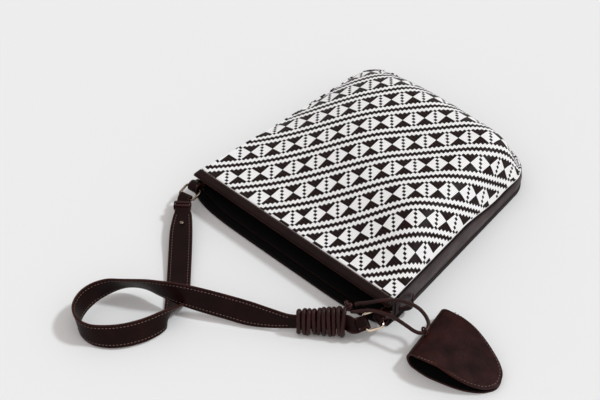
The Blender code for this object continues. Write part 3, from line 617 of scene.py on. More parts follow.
# %% The body's outline
MOUTH_WIDTH = 323 * MM
BASE_WIDTH = 269 * MM
BODY_LENGTH = 303 * MM
CORNER_RADIUS = 44 * MM
SIDE_DEPTH = 35 * MM
BASE_DEPTH = 41 * MM
CORNER_SAG = 16 * MM
SAG_FROM = (10 * MM, 140 * MM)
SAG_RUN = (110 * MM, 90 * MM)
SAG_ROLL = 22 * MM
SWELL_HEIGHT = 36 * MM
SWELL_LEFT, SWELL_LEFT_POWER = 0.45, 0.65
SWELL_RIGHT, SWELL_RIGHT_POWER = 0.21, 0.8
SWELL_MOUTH_LEFT = 260 * MM
SWELL_MOUTH_RIGHT = 88 * MM
SWELL_MOUTH_POWER = 2.4
SWELL_BASE, SWELL_BASE_POWER = 47 * MM, 0.65
FIT_GAP = 0.35 * MM
PANEL_WALL = 1.8 * MM
BACK_WALL = 2.4 * MM
BACK_OVERHANG = 1.5 * MM
PIPING_RADIUS = 1.4 * MM
GUSSET_WALL = 2.0 * MM
GUSSET_CROWN = 1.2 * MM
PANEL_EDGE = 2 * PIPING_RADIUS + FIT_GAP + 0.5 * PANEL_WALL
LEAN = (MOUTH_WIDTH - BASE_WIDTH) / 2 / BODY_LENGTH
CORNER_Y = BODY_LENGTH - CORNER_RADIUS


def side_half_width(y, inset):
    return MOUTH_WIDTH / 2 - LEAN * y - inset * math.hypot(1, LEAN)


CORNER_X = side_half_width(CORNER_Y, CORNER_RADIUS)


def half_width(y, inset):
    """Half the body's width at each y, with the base corners rounded."""
    y = np.asarray(y, float)
    radius = CORNER_RADIUS - inset
    rise = np.clip(y - CORNER_Y, 0, radius)
    rounded = CORNER_X + np.sqrt(radius * radius - rise * rise)
    return np.where(y <= CORNER_Y, side_half_width(y, inset), rounded)


def body_outline(inset, start_y, side_steps=24, corner_steps=18, base_steps=20):
    """Points from the right mouth corner round the base to the left one, in one U."""
    radius = CORNER_RADIUS - inset
    right = []
    for step in range(side_steps):
        y = start_y + (CORNER_Y - start_y) * step / side_steps
        right.append((side_half_width(y, inset), y))
    for step in range(corner_steps + 1):
        turn = math.pi / 2 * step / corner_steps
        right.append((CORNER_X + radius * math.cos(turn), CORNER_Y + radius * math.sin(turn)))
    for step in range(1, base_steps // 2 + 1):
        right.append((CORNER_X * (1 - 2 * step / base_steps), CORNER_Y + radius))
    left = [(-x, y) for x, y in reversed(right[:-1])]
    return right + left


print("outline of", len(body_outline(0, 0)), "points")

# %% [markdown]
# The front's height is built up in steps: the depth of the seam, a swell that rises like the
# side of a cushion from each edge, and a sag that rolls the base's right corner down.

# %% The front's swell


def smooth_step(value):
    value = np.clip(value, 0, 1)
    return value * value * (3 - 2 * value)


def edge_distance(x, y):
    """How far inside the outline each point is, from the side it is nearest to."""
    x, y = np.abs(x), np.asarray(y, float)
    straight = np.minimum(side_half_width(y, 0) - x, BODY_LENGTH - y)
    rounded = CORNER_RADIUS - np.hypot(x - CORNER_X, y - CORNER_Y)
    return np.where((x > CORNER_X) & (y > CORNER_Y), rounded, straight)


def even_depth(y):
    """Depth of the bag without its sag: it is deeper at its base."""
    return SIDE_DEPTH + (BASE_DEPTH - SIDE_DEPTH) * smooth_step(np.asarray(y) / BODY_LENGTH * 1.6 - 0.6)


def corner_sag(x, y):
    """How far the front seam drops towards the base's right corner."""
    return (CORNER_SAG * smooth_step((x - SAG_FROM[0]) / SAG_RUN[0])
            * smooth_step((y - SAG_FROM[1]) / SAG_RUN[1]))


def seam_height(x, y):
    return even_depth(y) - corner_sag(x, y)


def puff(share, power):
    """Rises from 0 to 1 like the side of a cushion."""
    share = np.clip(share, 0, 1)
    return (share * (2 - share)) ** power


def panel_height(x, y):
    """Height of the front panel's middle surface, which swells to the right and the base."""
    wide = half_width(y, PANEL_EDGE)
    across = np.clip((x + wide) / (2 * wide), 0, 1)
    sides = (puff(across / SWELL_LEFT, SWELL_LEFT_POWER)
             * puff((1 - across) / SWELL_RIGHT, SWELL_RIGHT_POWER))
    mouth = SWELL_MOUTH_LEFT + (SWELL_MOUTH_RIGHT - SWELL_MOUTH_LEFT) * across
    ends = (puff(y / mouth, SWELL_MOUTH_POWER)
            * puff((BODY_LENGTH - PANEL_EDGE - y) / SWELL_BASE, SWELL_BASE_POWER))
    rolled = corner_sag(x, y) * (1 - smooth_step((edge_distance(x, y) - PANEL_EDGE) / SAG_ROLL))
    return even_depth(y) + SWELL_HEIGHT * sides * ends - rolled


print(f"the front is {float(panel_height(0.05, 0.2)) / MM:.0f} mm high at its fullest")

# %% [markdown]
# The pattern is counted in cells, so every point of the front needs its place in cells. Cloth
# keeps its own length over the swell, so the count runs along the surface and not along the
# floor. Two tables hold it. Near the seams the surface falls steeply, and there the tables
# keep the count of the last gentle stretch.

# %% Cells on the front
CELL_X = 3.66 * MM
CELL_Y = 4.20 * MM
CELL_ORIGIN = (-8.0 * MM, 147.3 * MM)
SEAM_REACH = 24 * MM
TABLE_HALF_WIDTH = 165 * MM
TABLE_COLUMNS = 661
TABLE_ROWS = 304
table_x = np.linspace(-TABLE_HALF_WIDTH, TABLE_HALF_WIDTH, TABLE_COLUMNS)
table_y = np.linspace(0.0, BODY_LENGTH, TABLE_ROWS)
grid_x, grid_y = np.meshgrid(table_x, table_y)


def arc_from(values, spacing, axis, start):
    """Length along the surface from the index start, for a step of spacing along axis."""
    rise = np.diff(values, axis=axis)
    pieces = np.hypot(rise, spacing)
    total = np.cumsum(pieces, axis=axis)
    total = np.concatenate([np.zeros_like(np.take(total, [0], axis)), total], axis)
    return total - np.take(total, [start], axis)


origin_column = int(np.argmin(abs(table_x - CELL_ORIGIN[0])))
origin_row = int(np.argmin(abs(table_y - CELL_ORIGIN[1])))
cap_y = np.minimum(grid_y, BODY_LENGTH - SEAM_REACH)
cap_x = half_width(grid_y, SEAM_REACH)
cap_x = np.clip(grid_x, -cap_x, cap_x)
cells_u = arc_from(panel_height(grid_x, cap_y), table_x[1] - table_x[0], 1, origin_column) / CELL_X
cells_v = arc_from(panel_height(cap_x, grid_y), table_y[1] - table_y[0], 0, origin_row) / CELL_Y
print(f"the front counts {np.ptp(cells_u):.0f} by {np.ptp(cells_v):.0f} cells")

# %% [markdown]
# The tables answer in one direction: which cell a place is in. The floats need the other
# direction, so a place starts from a flat guess and is corrected in small steps until its
# cell is the wanted one.

# %% From cells to places
CORRECTIONS = 60
CORRECTION_SHARE = 0.45


def look_up(table, x, y):
    """Table value at each point, blended between the four nearest entries."""
    column = np.clip((x - table_x[0]) / (table_x[1] - table_x[0]), 0, len(table_x) - 1.001)
    row = np.clip((y - table_y[0]) / (table_y[1] - table_y[0]), 0, len(table_y) - 1.001)
    i, j = column.astype(int), row.astype(int)
    a, b = column - i, row - j
    return ((table[j, i] * (1 - a) + table[j, i + 1] * a) * (1 - b)
            + (table[j + 1, i] * (1 - a) + table[j + 1, i + 1] * a) * b)


def place_of(u, v):
    """x and y of points given in cells."""
    x = CELL_ORIGIN[0] + u * CELL_X
    y = CELL_ORIGIN[1] + v * CELL_Y
    for _ in range(CORRECTIONS):
        x = x + CORRECTION_SHARE * CELL_X * (u - look_up(cells_u, x, y))
        y = y + CORRECTION_SHARE * CELL_Y * (v - look_up(cells_v, x, y))
    return x, y


there = place_of(np.array([10.0]), np.array([5.0]))
print(f"cell 10, 5 lies at {there[0][0] / MM:.0f}, {there[1][0] / MM:.0f} mm")

# %% [markdown]
# The white ground is one woven sheet. At the mouth and the right side it ends inside the
# seam, and at the left side and the base it turns over the piping and hides it, so its edge
# follows the outline there. Its rows and columns crowd together where it bends most.

# %% Front panel
SHEET_INSET = 2 * PIPING_RADIUS + FIT_GAP
SHEET_WALL = 0.8 * MM
SHEET_ROWS = 150
SHEET_COLUMNS = 210
BASE_TURN_FROM = 235 * MM
BASE_TURN_RUN = 50 * MM
TURN_OUT = 0.3 * MM
TURN_LIFT = 1.1 * MM
TURN_LIFT_FROM = 1.0 * MM
TURN_LIFT_RUN = 5 * MM
TURN_DOWN = 2.4 * MM
TURN_DOWN_RUN = 1.5 * MM


def sheet_limits(y):
    """The sheet's left and right x: its left side and base turn over the piping."""
    turned = smooth_step((np.asarray(y, float) - BASE_TURN_FROM) / BASE_TURN_RUN)
    right = (1 - turned) * half_width(y, SHEET_INSET) + turned * half_width(y, -TURN_OUT)
    return -half_width(y, -TURN_OUT), right


def sheet_height(x, y):
    """Top of the sheet, lifted where it rides over the piping and let down at its edge."""
    inside = edge_distance(x, y)
    lift = TURN_LIFT * (1 - smooth_step((inside - TURN_LIFT_FROM) / TURN_LIFT_RUN))
    down = TURN_DOWN * (1 - smooth_step((inside + TURN_OUT) / TURN_DOWN_RUN))
    return panel_height(x, y) + PANEL_WALL / 2 + lift - down


def make_front_sheet():
    """The white strands: one sheet over the whole front, with its cell map."""
    rows, columns = SHEET_ROWS, SHEET_COLUMNS
    part = np.linspace(0, 1, rows)
    y = FIT_GAP + (BODY_LENGTH + TURN_OUT - FIT_GAP) * (0.3 * part + 0.7 * np.sin(np.pi / 2 * part))
    left, right = sheet_limits(y)
    part = np.linspace(-1, 1, columns)
    part = 0.5 + 0.5 * (0.4 * part + 0.6 * np.sin(np.pi / 2 * part))
    x = left[:, None] + (right - left)[:, None] * part
    y = np.repeat(y[:, None], columns, 1)
    z = sheet_height(x, y)
    points = np.stack([x, y, z], -1).reshape(-1, 3)
    start = (np.arange(rows - 1)[:, None] * columns + np.arange(columns - 1)).ravel()
    faces = np.stack([start, start + 1, start + columns + 1, start + columns], -1)
    item = make_object("front_panel_weave", points.tolist(), faces.tolist(), [WHITE_STRANDS])
    u, v = look_up(cells_u, x, y).ravel(), look_up(cells_v, x, y).ravel()
    layer = item.data.uv_layers.new(name="cells")
    corners = faces.ravel()
    layer.data.foreach_set("uv", np.stack([u[corners], v[corners]], -1).ravel())
    wall = item.modifiers.new("Wall", "SOLIDIFY")
    wall.thickness = SHEET_WALL
    wall.offset = -1
    return item


settle(make_front_sheet(), "bag", "woven_strands", "front_panel")

# %% [markdown]
# The dark strands show only where they float over the white ones. The traditional pattern
# repeats every five cells along a band. In each band, hourglasses of two dark triangles
# stand tip to tip, a column of five small dots parts them, and a sawtooth line runs between
# one band and the next. `dark_floats` lists the floats of one repeat by that rule. A float
# overlaps its neighbour a little, so that a triangle has no white hairlines.

# %% The pattern's floats
REPEAT_ALONG = (5, 5)
REPEAT_ACROSS = (10, -5)
REPEAT_REACH = 30
PATTERN_REACH = (70, 60)
TRIANGLE = 4
OVERLAP_U = 0.05
OVERLAP_V = 0.02
DOT_MIDDLE = 2.5
DOT_HALF_SIZE = (0.56, 0.41)
LINE_START = (-3.0, 4.5)
LINE_STEPS = 5
LINE_HALF_SIZE = (0.96, 0.5)


def dark_floats():
    """Floats of one repeat as (left, right, bottom, top) in cells."""
    floats = []
    for row in range(TRIANGLE):
        run = TRIANGLE - row
        floats.append((-run - OVERLAP_U, OVERLAP_U, row - OVERLAP_V, row + 1 + OVERLAP_V))
        floats.append((-OVERLAP_U, run + OVERLAP_U, -row - 1 - OVERLAP_V, -row + OVERLAP_V))
    for dot in range(-2, 3):
        u, v = DOT_MIDDLE - dot, DOT_MIDDLE + dot
        floats.append((u - DOT_HALF_SIZE[0], u + DOT_HALF_SIZE[0],
                       v - DOT_HALF_SIZE[1], v + DOT_HALF_SIZE[1]))
    for step in range(LINE_STEPS):
        u, v = LINE_START[0] + step, LINE_START[1] + step
        floats.append((u - LINE_HALF_SIZE[0], u + LINE_HALF_SIZE[0],
                       v - LINE_HALF_SIZE[1], v + LINE_HALF_SIZE[1]))
    return floats


def all_floats():
    placed = []
    for along in range(-REPEAT_REACH, REPEAT_REACH + 1):
        for across in range(-REPEAT_REACH, REPEAT_REACH + 1):
            du = along * REPEAT_ALONG[0] + across * REPEAT_ACROSS[0]
            dv = along * REPEAT_ALONG[1] + across * REPEAT_ACROSS[1]
            if abs(du) < PATTERN_REACH[0] and abs(dv) < PATTERN_REACH[1]:
                placed += [(a + du, b + du, c + dv, d + dv) for a, b, c, d in dark_floats()]
    return np.array(placed)


print("one repeat has", len(dark_floats()), "floats")

# %% [markdown]
# On the real bag a float is a flat strand that stands a fifth of a millimetre proud and dips
# under the ground at both ends. Each one is a low pillow of thirty faces, laid on the sheet,
# so that light catches its rounded edges. Thousands of them are made in one step, because
# arrays are far quicker than objects.

# %% Dark floats
FLOAT_ALONG = np.array([0.0, 0.06, 0.25, 0.5, 0.75, 0.94, 1.0])
FLOAT_DIP = np.array([-0.12, 0.0, 0.04, 0.06, 0.04, 0.0, -0.12]) * MM
FLOAT_ACROSS = np.array([-1.0, -0.92, -0.45, 0.45, 0.92, 1.0])
FLOAT_HEIGHT = np.array([0.00, 0.14, 0.20, 0.20, 0.14, 0.00]) * MM
FLOAT_STAND = 0.08 * MM
LEFT_MARGIN = 0.2 * MM
RIGHT_MARGIN = 0.4 * MM
RIGHT_END = 0.2 * MM
MOUTH_MARGIN = 0.5 * MM
MOUTH_END = 0.3 * MM
UNSETTLED = 0.3


def make_dark_floats():
    floats = all_floats()
    middle_x, middle_y = place_of(floats[:, :2].mean(1), floats[:, 2:].mean(1))
    left, right = sheet_limits(middle_y)
    inside = ((middle_x > left + LEFT_MARGIN) & (middle_x < right - RIGHT_MARGIN)
              & (middle_y > MOUTH_MARGIN) & (middle_y < BODY_LENGTH))
    off = (abs(look_up(cells_u, middle_x, middle_y) - floats[:, :2].mean(1))
           + abs(look_up(cells_v, middle_x, middle_y) - floats[:, 2:].mean(1)))
    floats = floats[inside & (off < UNSETTLED)]
    print((inside & (off >= UNSETTLED)).sum(), "floats left out where the cloth turns down")
    u = floats[:, 0, None] + (floats[:, 1] - floats[:, 0])[:, None] * FLOAT_ALONG
    v = floats[:, 2:].mean(1)[:, None] + (floats[:, 3] - floats[:, 2])[:, None] / 2 * FLOAT_ACROSS
    size = (len(floats), len(FLOAT_ALONG), len(FLOAT_ACROSS))
    u = np.broadcast_to(u[:, :, None], size).ravel()
    v = np.broadcast_to(v[:, None, :], size).ravel()
    x, y = place_of(u, v)
    y = np.clip(y, MOUTH_END, BODY_LENGTH + TURN_OUT)
    left, right = sheet_limits(y)
    x = np.clip(x, left, right - RIGHT_END)
    rise = np.broadcast_to(FLOAT_DIP[None, :, None] + FLOAT_HEIGHT[None, None, :], size).ravel()
    z = sheet_height(x, y) + rise + FLOAT_STAND
    a, b = len(FLOAT_ALONG), len(FLOAT_ACROSS)
    cell = (np.arange(a - 1)[:, None] * b + np.arange(b - 1)).ravel()
    quad = np.stack([cell, cell + b, cell + b + 1, cell + 1], -1)
    faces = (np.arange(len(floats))[:, None, None] * a * b + quad[None]).reshape(-1, 4)
    item = make_object("front_panel_dark_strands", np.stack([x, y, z], -1).tolist(),
                       faces.tolist(), [DARK_STRANDS])
    layer = item.data.uv_layers.new(name="cells")
    corners = faces.ravel()
    layer.data.foreach_set("uv", np.stack([u[corners], v[corners]], -1).ravel())
    print(len(floats), "dark floats")
    return item


settle(make_dark_floats(), "bag", "woven_strands")

# %% [markdown]
# The back panel is woven too, but it lies on the floor and only its rim and its lip at the
# mouth show. It is a plain plate with a softened edge, and its strands stay in the materials:
# white below, and dark round the rim and above, as the photo's thin dark line shows.

# %% Back panel
BINDING_WIDTH = 13 * MM
BACK_LIP = 26 * MM
BACK_LIP_AT_CORNER = 13.5 * MM
LIP_STEPS = 40
LIP_POWER = 6
BACK_EDGE = 0.5 * MM
BACK_SIDE_START = 8 * MM
PANEL_MIDDLE = Vector((0, 0.14, 0))


def back_lip(x):
    """The y of the back panel's mouth edge, which bows out in front of the front panel's."""
    share = 1 - abs(x / (MOUTH_WIDTH / 2)) ** LIP_POWER
    return -(BACK_LIP_AT_CORNER + (BACK_LIP - BACK_LIP_AT_CORNER) * share)


def make_back_panel():
    mouth_x = side_half_width(0, -BACK_OVERHANG)
    mouth = []
    for step in range(LIP_STEPS + 1):
        x = -MOUTH_WIDTH / 2 + MOUTH_WIDTH * step / LIP_STEPS
        mouth.append((x, back_lip(x) + BINDING_WIDTH + FIT_GAP))
    mouth = [(-mouth_x, mouth[0][1])] + mouth + [(mouth_x, mouth[-1][1])]
    outline = body_outline(-BACK_OVERHANG, mouth[0][1] + BACK_SIDE_START) + mouth
    count = len(outline)
    levels = ((0.0, BACK_EDGE), (BACK_EDGE, 0.0), (BACK_WALL - BACK_EDGE, 0.0),
              (BACK_WALL, BACK_EDGE))
    points = []
    for height, inset in levels:
        for x, y in outline:
            away = (Vector((x, y, 0)) - PANEL_MIDDLE).normalized() * inset
            points.append((x - away.x, y - away.y, height))
    faces = []
    for level in range(len(levels) - 1):
        for side in range(count):
            following = (side + 1) % count
            first, second = level * count, (level + 1) * count
            faces.append((first + side, first + following, second + following, second + side))
    faces.append(tuple(reversed(range(count))))
    faces.append(tuple(3 * count + side for side in range(count)))
    item = make_object("back_panel_weave", points, faces, [WHITE_STRANDS, DARK_STRANDS],
                       [1] * (3 * count) + [0, 1])
    layer = item.data.uv_layers.new(name="cells")
    for loop in item.data.loops:
        x, y, z = item.data.vertices[loop.vertex_index].co
        layer.data[loop.index].uv = ((x + z) / CELL_X, (y + z) / CELL_Y)
    face_outward(item)
    return settle(item, "bag", "woven_strands", "back_panel")


make_back_panel()

# %% [markdown]
# A thin leather piping is sewn into each seam and stands a little proud of it. It is a tube
# along the outline, and the front one follows the seam's height down to the sagged corner.

# %% Piping
PIPING_PROUD = 0.2 * MM


def make_piping():
    outline = body_outline(PIPING_RADIUS - PIPING_PROUD, FIT_GAP)
    height = BACK_WALL + FIT_GAP + PIPING_RADIUS
    back = [(x, y, height) for x, y in outline]
    front = [(x, y, float(seam_height(x, y))) for x, y in outline]
    for name, line in (("back_piping", back), ("front_piping", front)):
        item = make_tube(name + "_leather", line, PIPING_RADIUS, BINDING_LEATHER, sides=10)
        settle(item, "bag", "brown_leather", name)


make_piping()

# %% [markdown]
# The gusset is one long strip of thick leather between the two seams, round both sides and
# the base. It crowns outwards, and the crown comes and goes along its length, as leather
# does where it is pressed. Rows of points between the seams give it that crown, and a
# Solidify modifier gives it its wall.

# %% Gusset
GUSSET_LEVELS = 11
GUSSET_TOP_GAP = 1.4 * FIT_GAP
CROWN_DRIFT = 0.5
CROWN_WAVE = (95, 70)


def make_gusset():
    outline = body_outline(GUSSET_WALL / 2, FIT_GAP)
    bottom = BACK_WALL + 2 * PIPING_RADIUS + 2 * FIT_GAP
    levels = GUSSET_LEVELS
    points = []
    for index, (x, y) in enumerate(outline):
        before = outline[max(index - 1, 0)]
        after = outline[min(index + 1, len(outline) - 1)]
        outward = Vector((after[1] - before[1], before[0] - after[0], 0)).normalized()
        top = float(seam_height(x, y)) - PIPING_RADIUS - GUSSET_TOP_GAP
        wave = CROWN_DRIFT * math.sin(x * CROWN_WAVE[0] + y * CROWN_WAVE[1])
        for level in range(levels):
            part = level / (levels - 1)
            swell = 1 + wave * math.sin(math.pi * part)
            crown = outward * GUSSET_CROWN * math.sin(math.pi * part) * swell
            points.append(Vector((x, y, bottom + (top - bottom) * part)) + crown)
    rows = len(outline)
    faces = [(row * levels + level, row * levels + level + 1, (row + 1) * levels + level + 1,
              (row + 1) * levels + level) for row in range(rows - 1) for level in range(levels - 1)]
    item = make_object("gusset_leather_side", points, faces, [GUSSET_SHEEN_LEATHER])
    wall = item.modifiers.new("Wall", "SOLIDIFY")
    wall.thickness = GUSSET_WALL
    wall.offset = 0
    return settle(item, "bag", "brown_leather", "gusset")


make_gusset()

# %% [markdown]
# The lining is a loose black pouch sewn in at the mouth. Only its first centimetres can be
# seen, so it is one closed tube of cloth with soft shallow folds, worked out from the
# surfaces that it hangs between: the back panel below and the front panel above.

# %% Lining
LINING_WALL = 0.7 * MM
LINING_GAP = 1.6 * MM
LINING_EASE = 4 * MM
LINING_START_Y = 2 * MM
LINING_ROWS = 44
LINING_COLUMNS = 48
FLOOR_FOLD = 0.35 * MM
FLOOR_FOLD_WAVE = (160, 40)
CEILING_FOLD = 0.5 * MM
CEILING_FOLD_WAVE = (130, -60)
FOLD_FREE_ROWS = 6


def make_pouch():
    inset = GUSSET_WALL + LINING_GAP + 2 * PIPING_RADIUS
    floor = BACK_WALL + FIT_GAP
    across = LINING_COLUMNS
    rows = LINING_ROWS
    part = np.linspace(0, 1, rows)
    deep = BODY_LENGTH - inset - LINING_START_Y
    ys = LINING_START_Y + deep * (0.5 * part + 0.5 * np.sin(np.pi / 2 * part))
    points = []
    for row, y in enumerate(ys):
        wide = float(half_width(y, inset))
        fade = (1 - row / (rows - 1)) ** 2
        columns = np.linspace(-wide, wide, across)
        for x in columns:
            start = back_lip(x) + BINDING_WIDTH + 3 * FIT_GAP
            wave = math.sin(x * FLOOR_FOLD_WAVE[0] + y * FLOOR_FOLD_WAVE[1])
            fold = FLOOR_FOLD * (1 + wave)
            points.append((x, y + (start - ys[0]) * fade, floor + fold))
        for x in columns[::-1]:
            further = panel_height(x * (1 + LINING_EASE / wide), y + LINING_EASE)
            ceiling = min(float(panel_height(x, y)), float(further)) - PANEL_WALL - LINING_GAP
            wave = math.sin(x * CEILING_FOLD_WAVE[0] + y * CEILING_FOLD_WAVE[1])
            fold = CEILING_FOLD * (1 + wave) * min(row / FOLD_FREE_ROWS, 1)
            points.append((x, y, ceiling - fold))
    size = 2 * across
    faces = [(row * size + side, (row + 1) * size + side, (row + 1) * size + (side + 1) % size,
              row * size + (side + 1) % size) for row in range(rows - 1) for side in range(size)]
    last = (rows - 1) * size
    faces += [(last + c, last + size - 1 - c, last + size - 2 - c, last + c + 1)
              for c in range(across - 1)]
    item = make_object("lining_cloth", points, faces, [LINING])
    wall = item.modifiers.new("Wall", "SOLIDIFY")
    wall.thickness = LINING_WALL
    wall.offset = -1
    return settle(item, "bag", "black_lining", "lining")


make_pouch()

# %% [markdown]
# Both mouth edges are bound in leather, which keeps the weave from fraying. The front
# binding has a thin rolled rim along its free edge and a row of stitches along the sewn one.
# Two short strips stand at the ends, where the gusset's edges are bound. All are flat strips,
# so the strip tool makes them.

# %% Bindings
FRONT_BINDING_WALL = 3.4 * MM
BACK_BINDING_WALL = 3.0 * MM
END_BINDING_WIDTH = 6 * MM
END_BINDING_WALL = 3.0 * MM
BINDING_STEPS = 90
END_STEPS = 12
RIM_RADIUS = 0.8 * MM
RIM_OUT = 0.1 * MM
RIM_DROP = 0.6 * MM
BINDING_SEAM_INSET = 1.6 * MM


def binding_x():
    return [MOUTH_WIDTH * (step / BINDING_STEPS - 0.5) for step in range(BINDING_STEPS + 1)]


def make_bindings():
    up = Vector((0, 0, 1))
    over = Vector((0, 1, 0))
    front_y = -(BINDING_WIDTH / 2 + FIT_GAP)
    front = [(Vector((x, front_y, SIDE_DEPTH)), over, BINDING_WIDTH, FRONT_BINDING_WALL)
             for x in binding_x()]
    back = [(Vector((x, back_lip(x) + BINDING_WIDTH / 2, BACK_BINDING_WALL / 2)), over,
             BINDING_WIDTH - FIT_GAP, BACK_BINDING_WALL) for x in binding_x()]
    settle(make_strip("front_binding_leather", front, [BINDING_LEATHER, BINDING_LEATHER], normal=up),
           "bag", "brown_leather", "front_binding")
    # The back binding's face takes the black lining cloth, a painted shade where the mouth's shade
    # falls on the leather; only its half round edges stay brown leather
    settle(make_strip("back_binding_leather", back, [LINING, BINDING_LEATHER], normal=up),
           "bag", "brown_leather", "back_binding")
    rim = [(x, -BINDING_WIDTH - RIM_OUT, SIDE_DEPTH - RIM_DROP) for x in binding_x()]
    settle(make_tube("front_binding_rim", rim, RIM_RADIUS, PAINTED_EDGE, sides=8), "bag",
           "brown_leather")
    rows = [edge_row(front, BINDING_SEAM_INSET, 1, 1, normal=up, first=2, last=-2)]
    make_stitches("front_binding_stitches", rows, "bag")
    low = BACK_BINDING_WALL + FIT_GAP
    high = SIDE_DEPTH - FRONT_BINDING_WALL / 2 - FIT_GAP
    for side, name in ((-1, "left_end_binding"), (1, "right_end_binding")):
        ends = []
        for step in range(END_STEPS + 1):
            height = low + (high - low) * step / END_STEPS
            middle = Vector((side * (MOUTH_WIDTH / 2 - END_BINDING_WALL / 2),
                             -END_BINDING_WIDTH / 2, height))
            ends.append((middle, over, END_BINDING_WIDTH - FIT_GAP, END_BINDING_WALL))
        settle(make_strip(name + "_leather", ends, [BINDING_LEATHER, BINDING_LEATHER]), "bag",
               "brown_leather", name)


make_bindings()

# %% [markdown]
# A ring hangs at each mouth corner: round wire bent to an oval with two straight bars. The
# frames below are the model's own, so that a ring turns about its true hinge: its middle, the
# direction of its bars and the direction from strap to tab. Each ring is one closed tube.

# %% Rings
LEFT_TAB_BAR = Vector((-155.5, -17.8, 21)) * MM
RIGHT_TAB_BAR = Vector((159.2, -22.6, 21.5)) * MM
RING_BAR_DROP = 2.5 * MM
RING_BAR_SPACING = 20.5 * MM
RING_WIDTH = 22.5 * MM
RING_FILLET = 5 * MM
RING_WIRE_RADIUS = 1.5 * MM
RING_CORNER_STEPS = 8
LEFT_RING_YAW = math.radians(8)
RIGHT_RING_YAW = math.radians(-31)
RIGHT_RING_ROLL = math.radians(14)


def ring_frames():
    drop = math.asin(RING_BAR_DROP / RING_BAR_SPACING)
    frames = []
    for bar, yaw, roll in ((LEFT_TAB_BAR, LEFT_RING_YAW, 0.0),
                           (RIGHT_TAB_BAR, RIGHT_RING_YAW, RIGHT_RING_ROLL)):
        along = Vector((-math.sin(yaw) * math.cos(drop), math.cos(yaw) * math.cos(drop),
                        math.sin(drop)))
        level = Vector((math.cos(yaw), math.sin(yaw), 0))
        bar_axis = level * math.cos(roll) - level.cross(along) * math.sin(roll)
        frames.append((bar - along * RING_BAR_SPACING / 2, bar_axis, along))
    return frames


def make_ring(name, centre, bar_axis, along, metal):
    half_bar = RING_WIDTH / 2 - RING_FILLET
    half_length = RING_BAR_SPACING / 2 - RING_FILLET
    points = []
    for side_x, side_y, start in ((1, 1, 0), (-1, 1, 90), (-1, -1, 180), (1, -1, 270)):
        for step in range(RING_CORNER_STEPS + 1):
            turn = math.radians(start + 90 * step / RING_CORNER_STEPS)
            points.append(centre + bar_axis * (side_x * half_bar + RING_FILLET * math.cos(turn))
                          + along * (side_y * half_length + RING_FILLET * math.sin(turn)))
    settle(make_tube(name + "_metal", points, RING_WIRE_RADIUS, metal, sides=14, closed=True),
           name, "pale_gold_metal", name)


left_frame, right_frame = ring_frames()
make_ring("left_ring", *left_frame, SHADED_METAL)
make_ring("right_ring", *right_frame, METAL)

# %% [markdown]
# Each ring's far bar lies in a tab: a short strip that leaves the mouth corner, goes round
# the bar and comes back to its own root, where it is sewn down. The strap's ends fold round
# the near bars in the same way, so one tool gives the points round a bar.

# %% Tabs
TAB_WIDTH = 14 * MM
TAB_WALL = 2.0 * MM
TAB_LOOP_RADIUS = 6.2 * MM
TAB_SEAT_X = 156.5 * MM
TAB_SEAT_HEIGHT = 20 * MM
TAB_TWIST_SHARE = 0.5
TAB_ROOT_LENGTH = 2.5 * MM
TAB_NECK_SPREAD = 2.2 * MM
TAB_FOLD_DEGREES = 115
TAB_FOLD_STEPS = 9
TAB_SEAM_INSET = 1.8 * MM
TAB_SEAM_START = 28


def fold_keys(bar, bar_axis, away, radius, reach_degrees=125, steps=5):
    """Points round a bar, from under it to over it on the side that faces away."""
    away = (away - bar_axis * away.dot(bar_axis)).normalized()
    up = away.cross(bar_axis).normalized()
    if up.z < 0:
        up = -up
    keys = []
    for step in range(steps):
        turn = math.radians(-reach_degrees + 2 * reach_degrees * step / (steps - 1))
        keys.append(bar + (away * math.cos(turn) + up * math.sin(turn)) * radius)
    return keys


def make_tab(name, side, bar, bar_axis):
    seat = Vector((side * TAB_SEAT_X, -END_BINDING_WIDTH - FIT_GAP, TAB_SEAT_HEIGHT))
    flat = Vector((1, 0, 0))
    turned = flat.lerp(bar_axis, TAB_TWIST_SHARE).normalized()
    rise = Vector((0, 0, TAB_WALL / 2 + FIT_GAP))
    root = seat - Vector((0, TAB_ROOT_LENGTH, 0))
    neck = seat.lerp(bar, 0.5)
    spread = Vector((0, 0, TAB_NECK_SPREAD))
    keys = [(seat - rise, flat), (root - rise, flat), (neck - rise - spread, turned)]
    keys += [(point, turned) for point in
             fold_keys(bar, turned, bar - seat, TAB_LOOP_RADIUS, TAB_FOLD_DEGREES, TAB_FOLD_STEPS)]
    keys += [(neck + rise + spread, turned), (root + rise, flat), (seat + rise, flat)]
    stations = [(Vector(sample[:3]), Vector(sample[3:]), TAB_WIDTH, TAB_WALL) for sample in
                smooth_curve([(*point, *across) for point, across in keys], 3)]
    item = make_strip(name + "_leather", stations, [STRAP_LEATHER, PAINTED_EDGE])
    settle(item, "bag", "brown_leather", name)
    rows = [edge_row(stations, TAB_SEAM_INSET, edge, -1, first=TAB_SEAM_START, last=-1)
            for edge in (1, -1)]
    make_stitches(name + "_stitches", rows, "bag")


make_tab("left_tab", -1, LEFT_TAB_BAR, left_frame[1])
make_tab("right_tab", 1, RIGHT_TAB_BAR, right_frame[1])

# %% [markdown]
# The strap is one long strip, as it is cut and sewn. Its route is the model's: folded back
# through the left ring, down to the floor, round one curl, across its own bend, and up on
# edge into the wrap. A simulated strip would not fall into the photo's curl, so its stations
# are listed one by one: each has a middle in millimetres and the direction of its width.

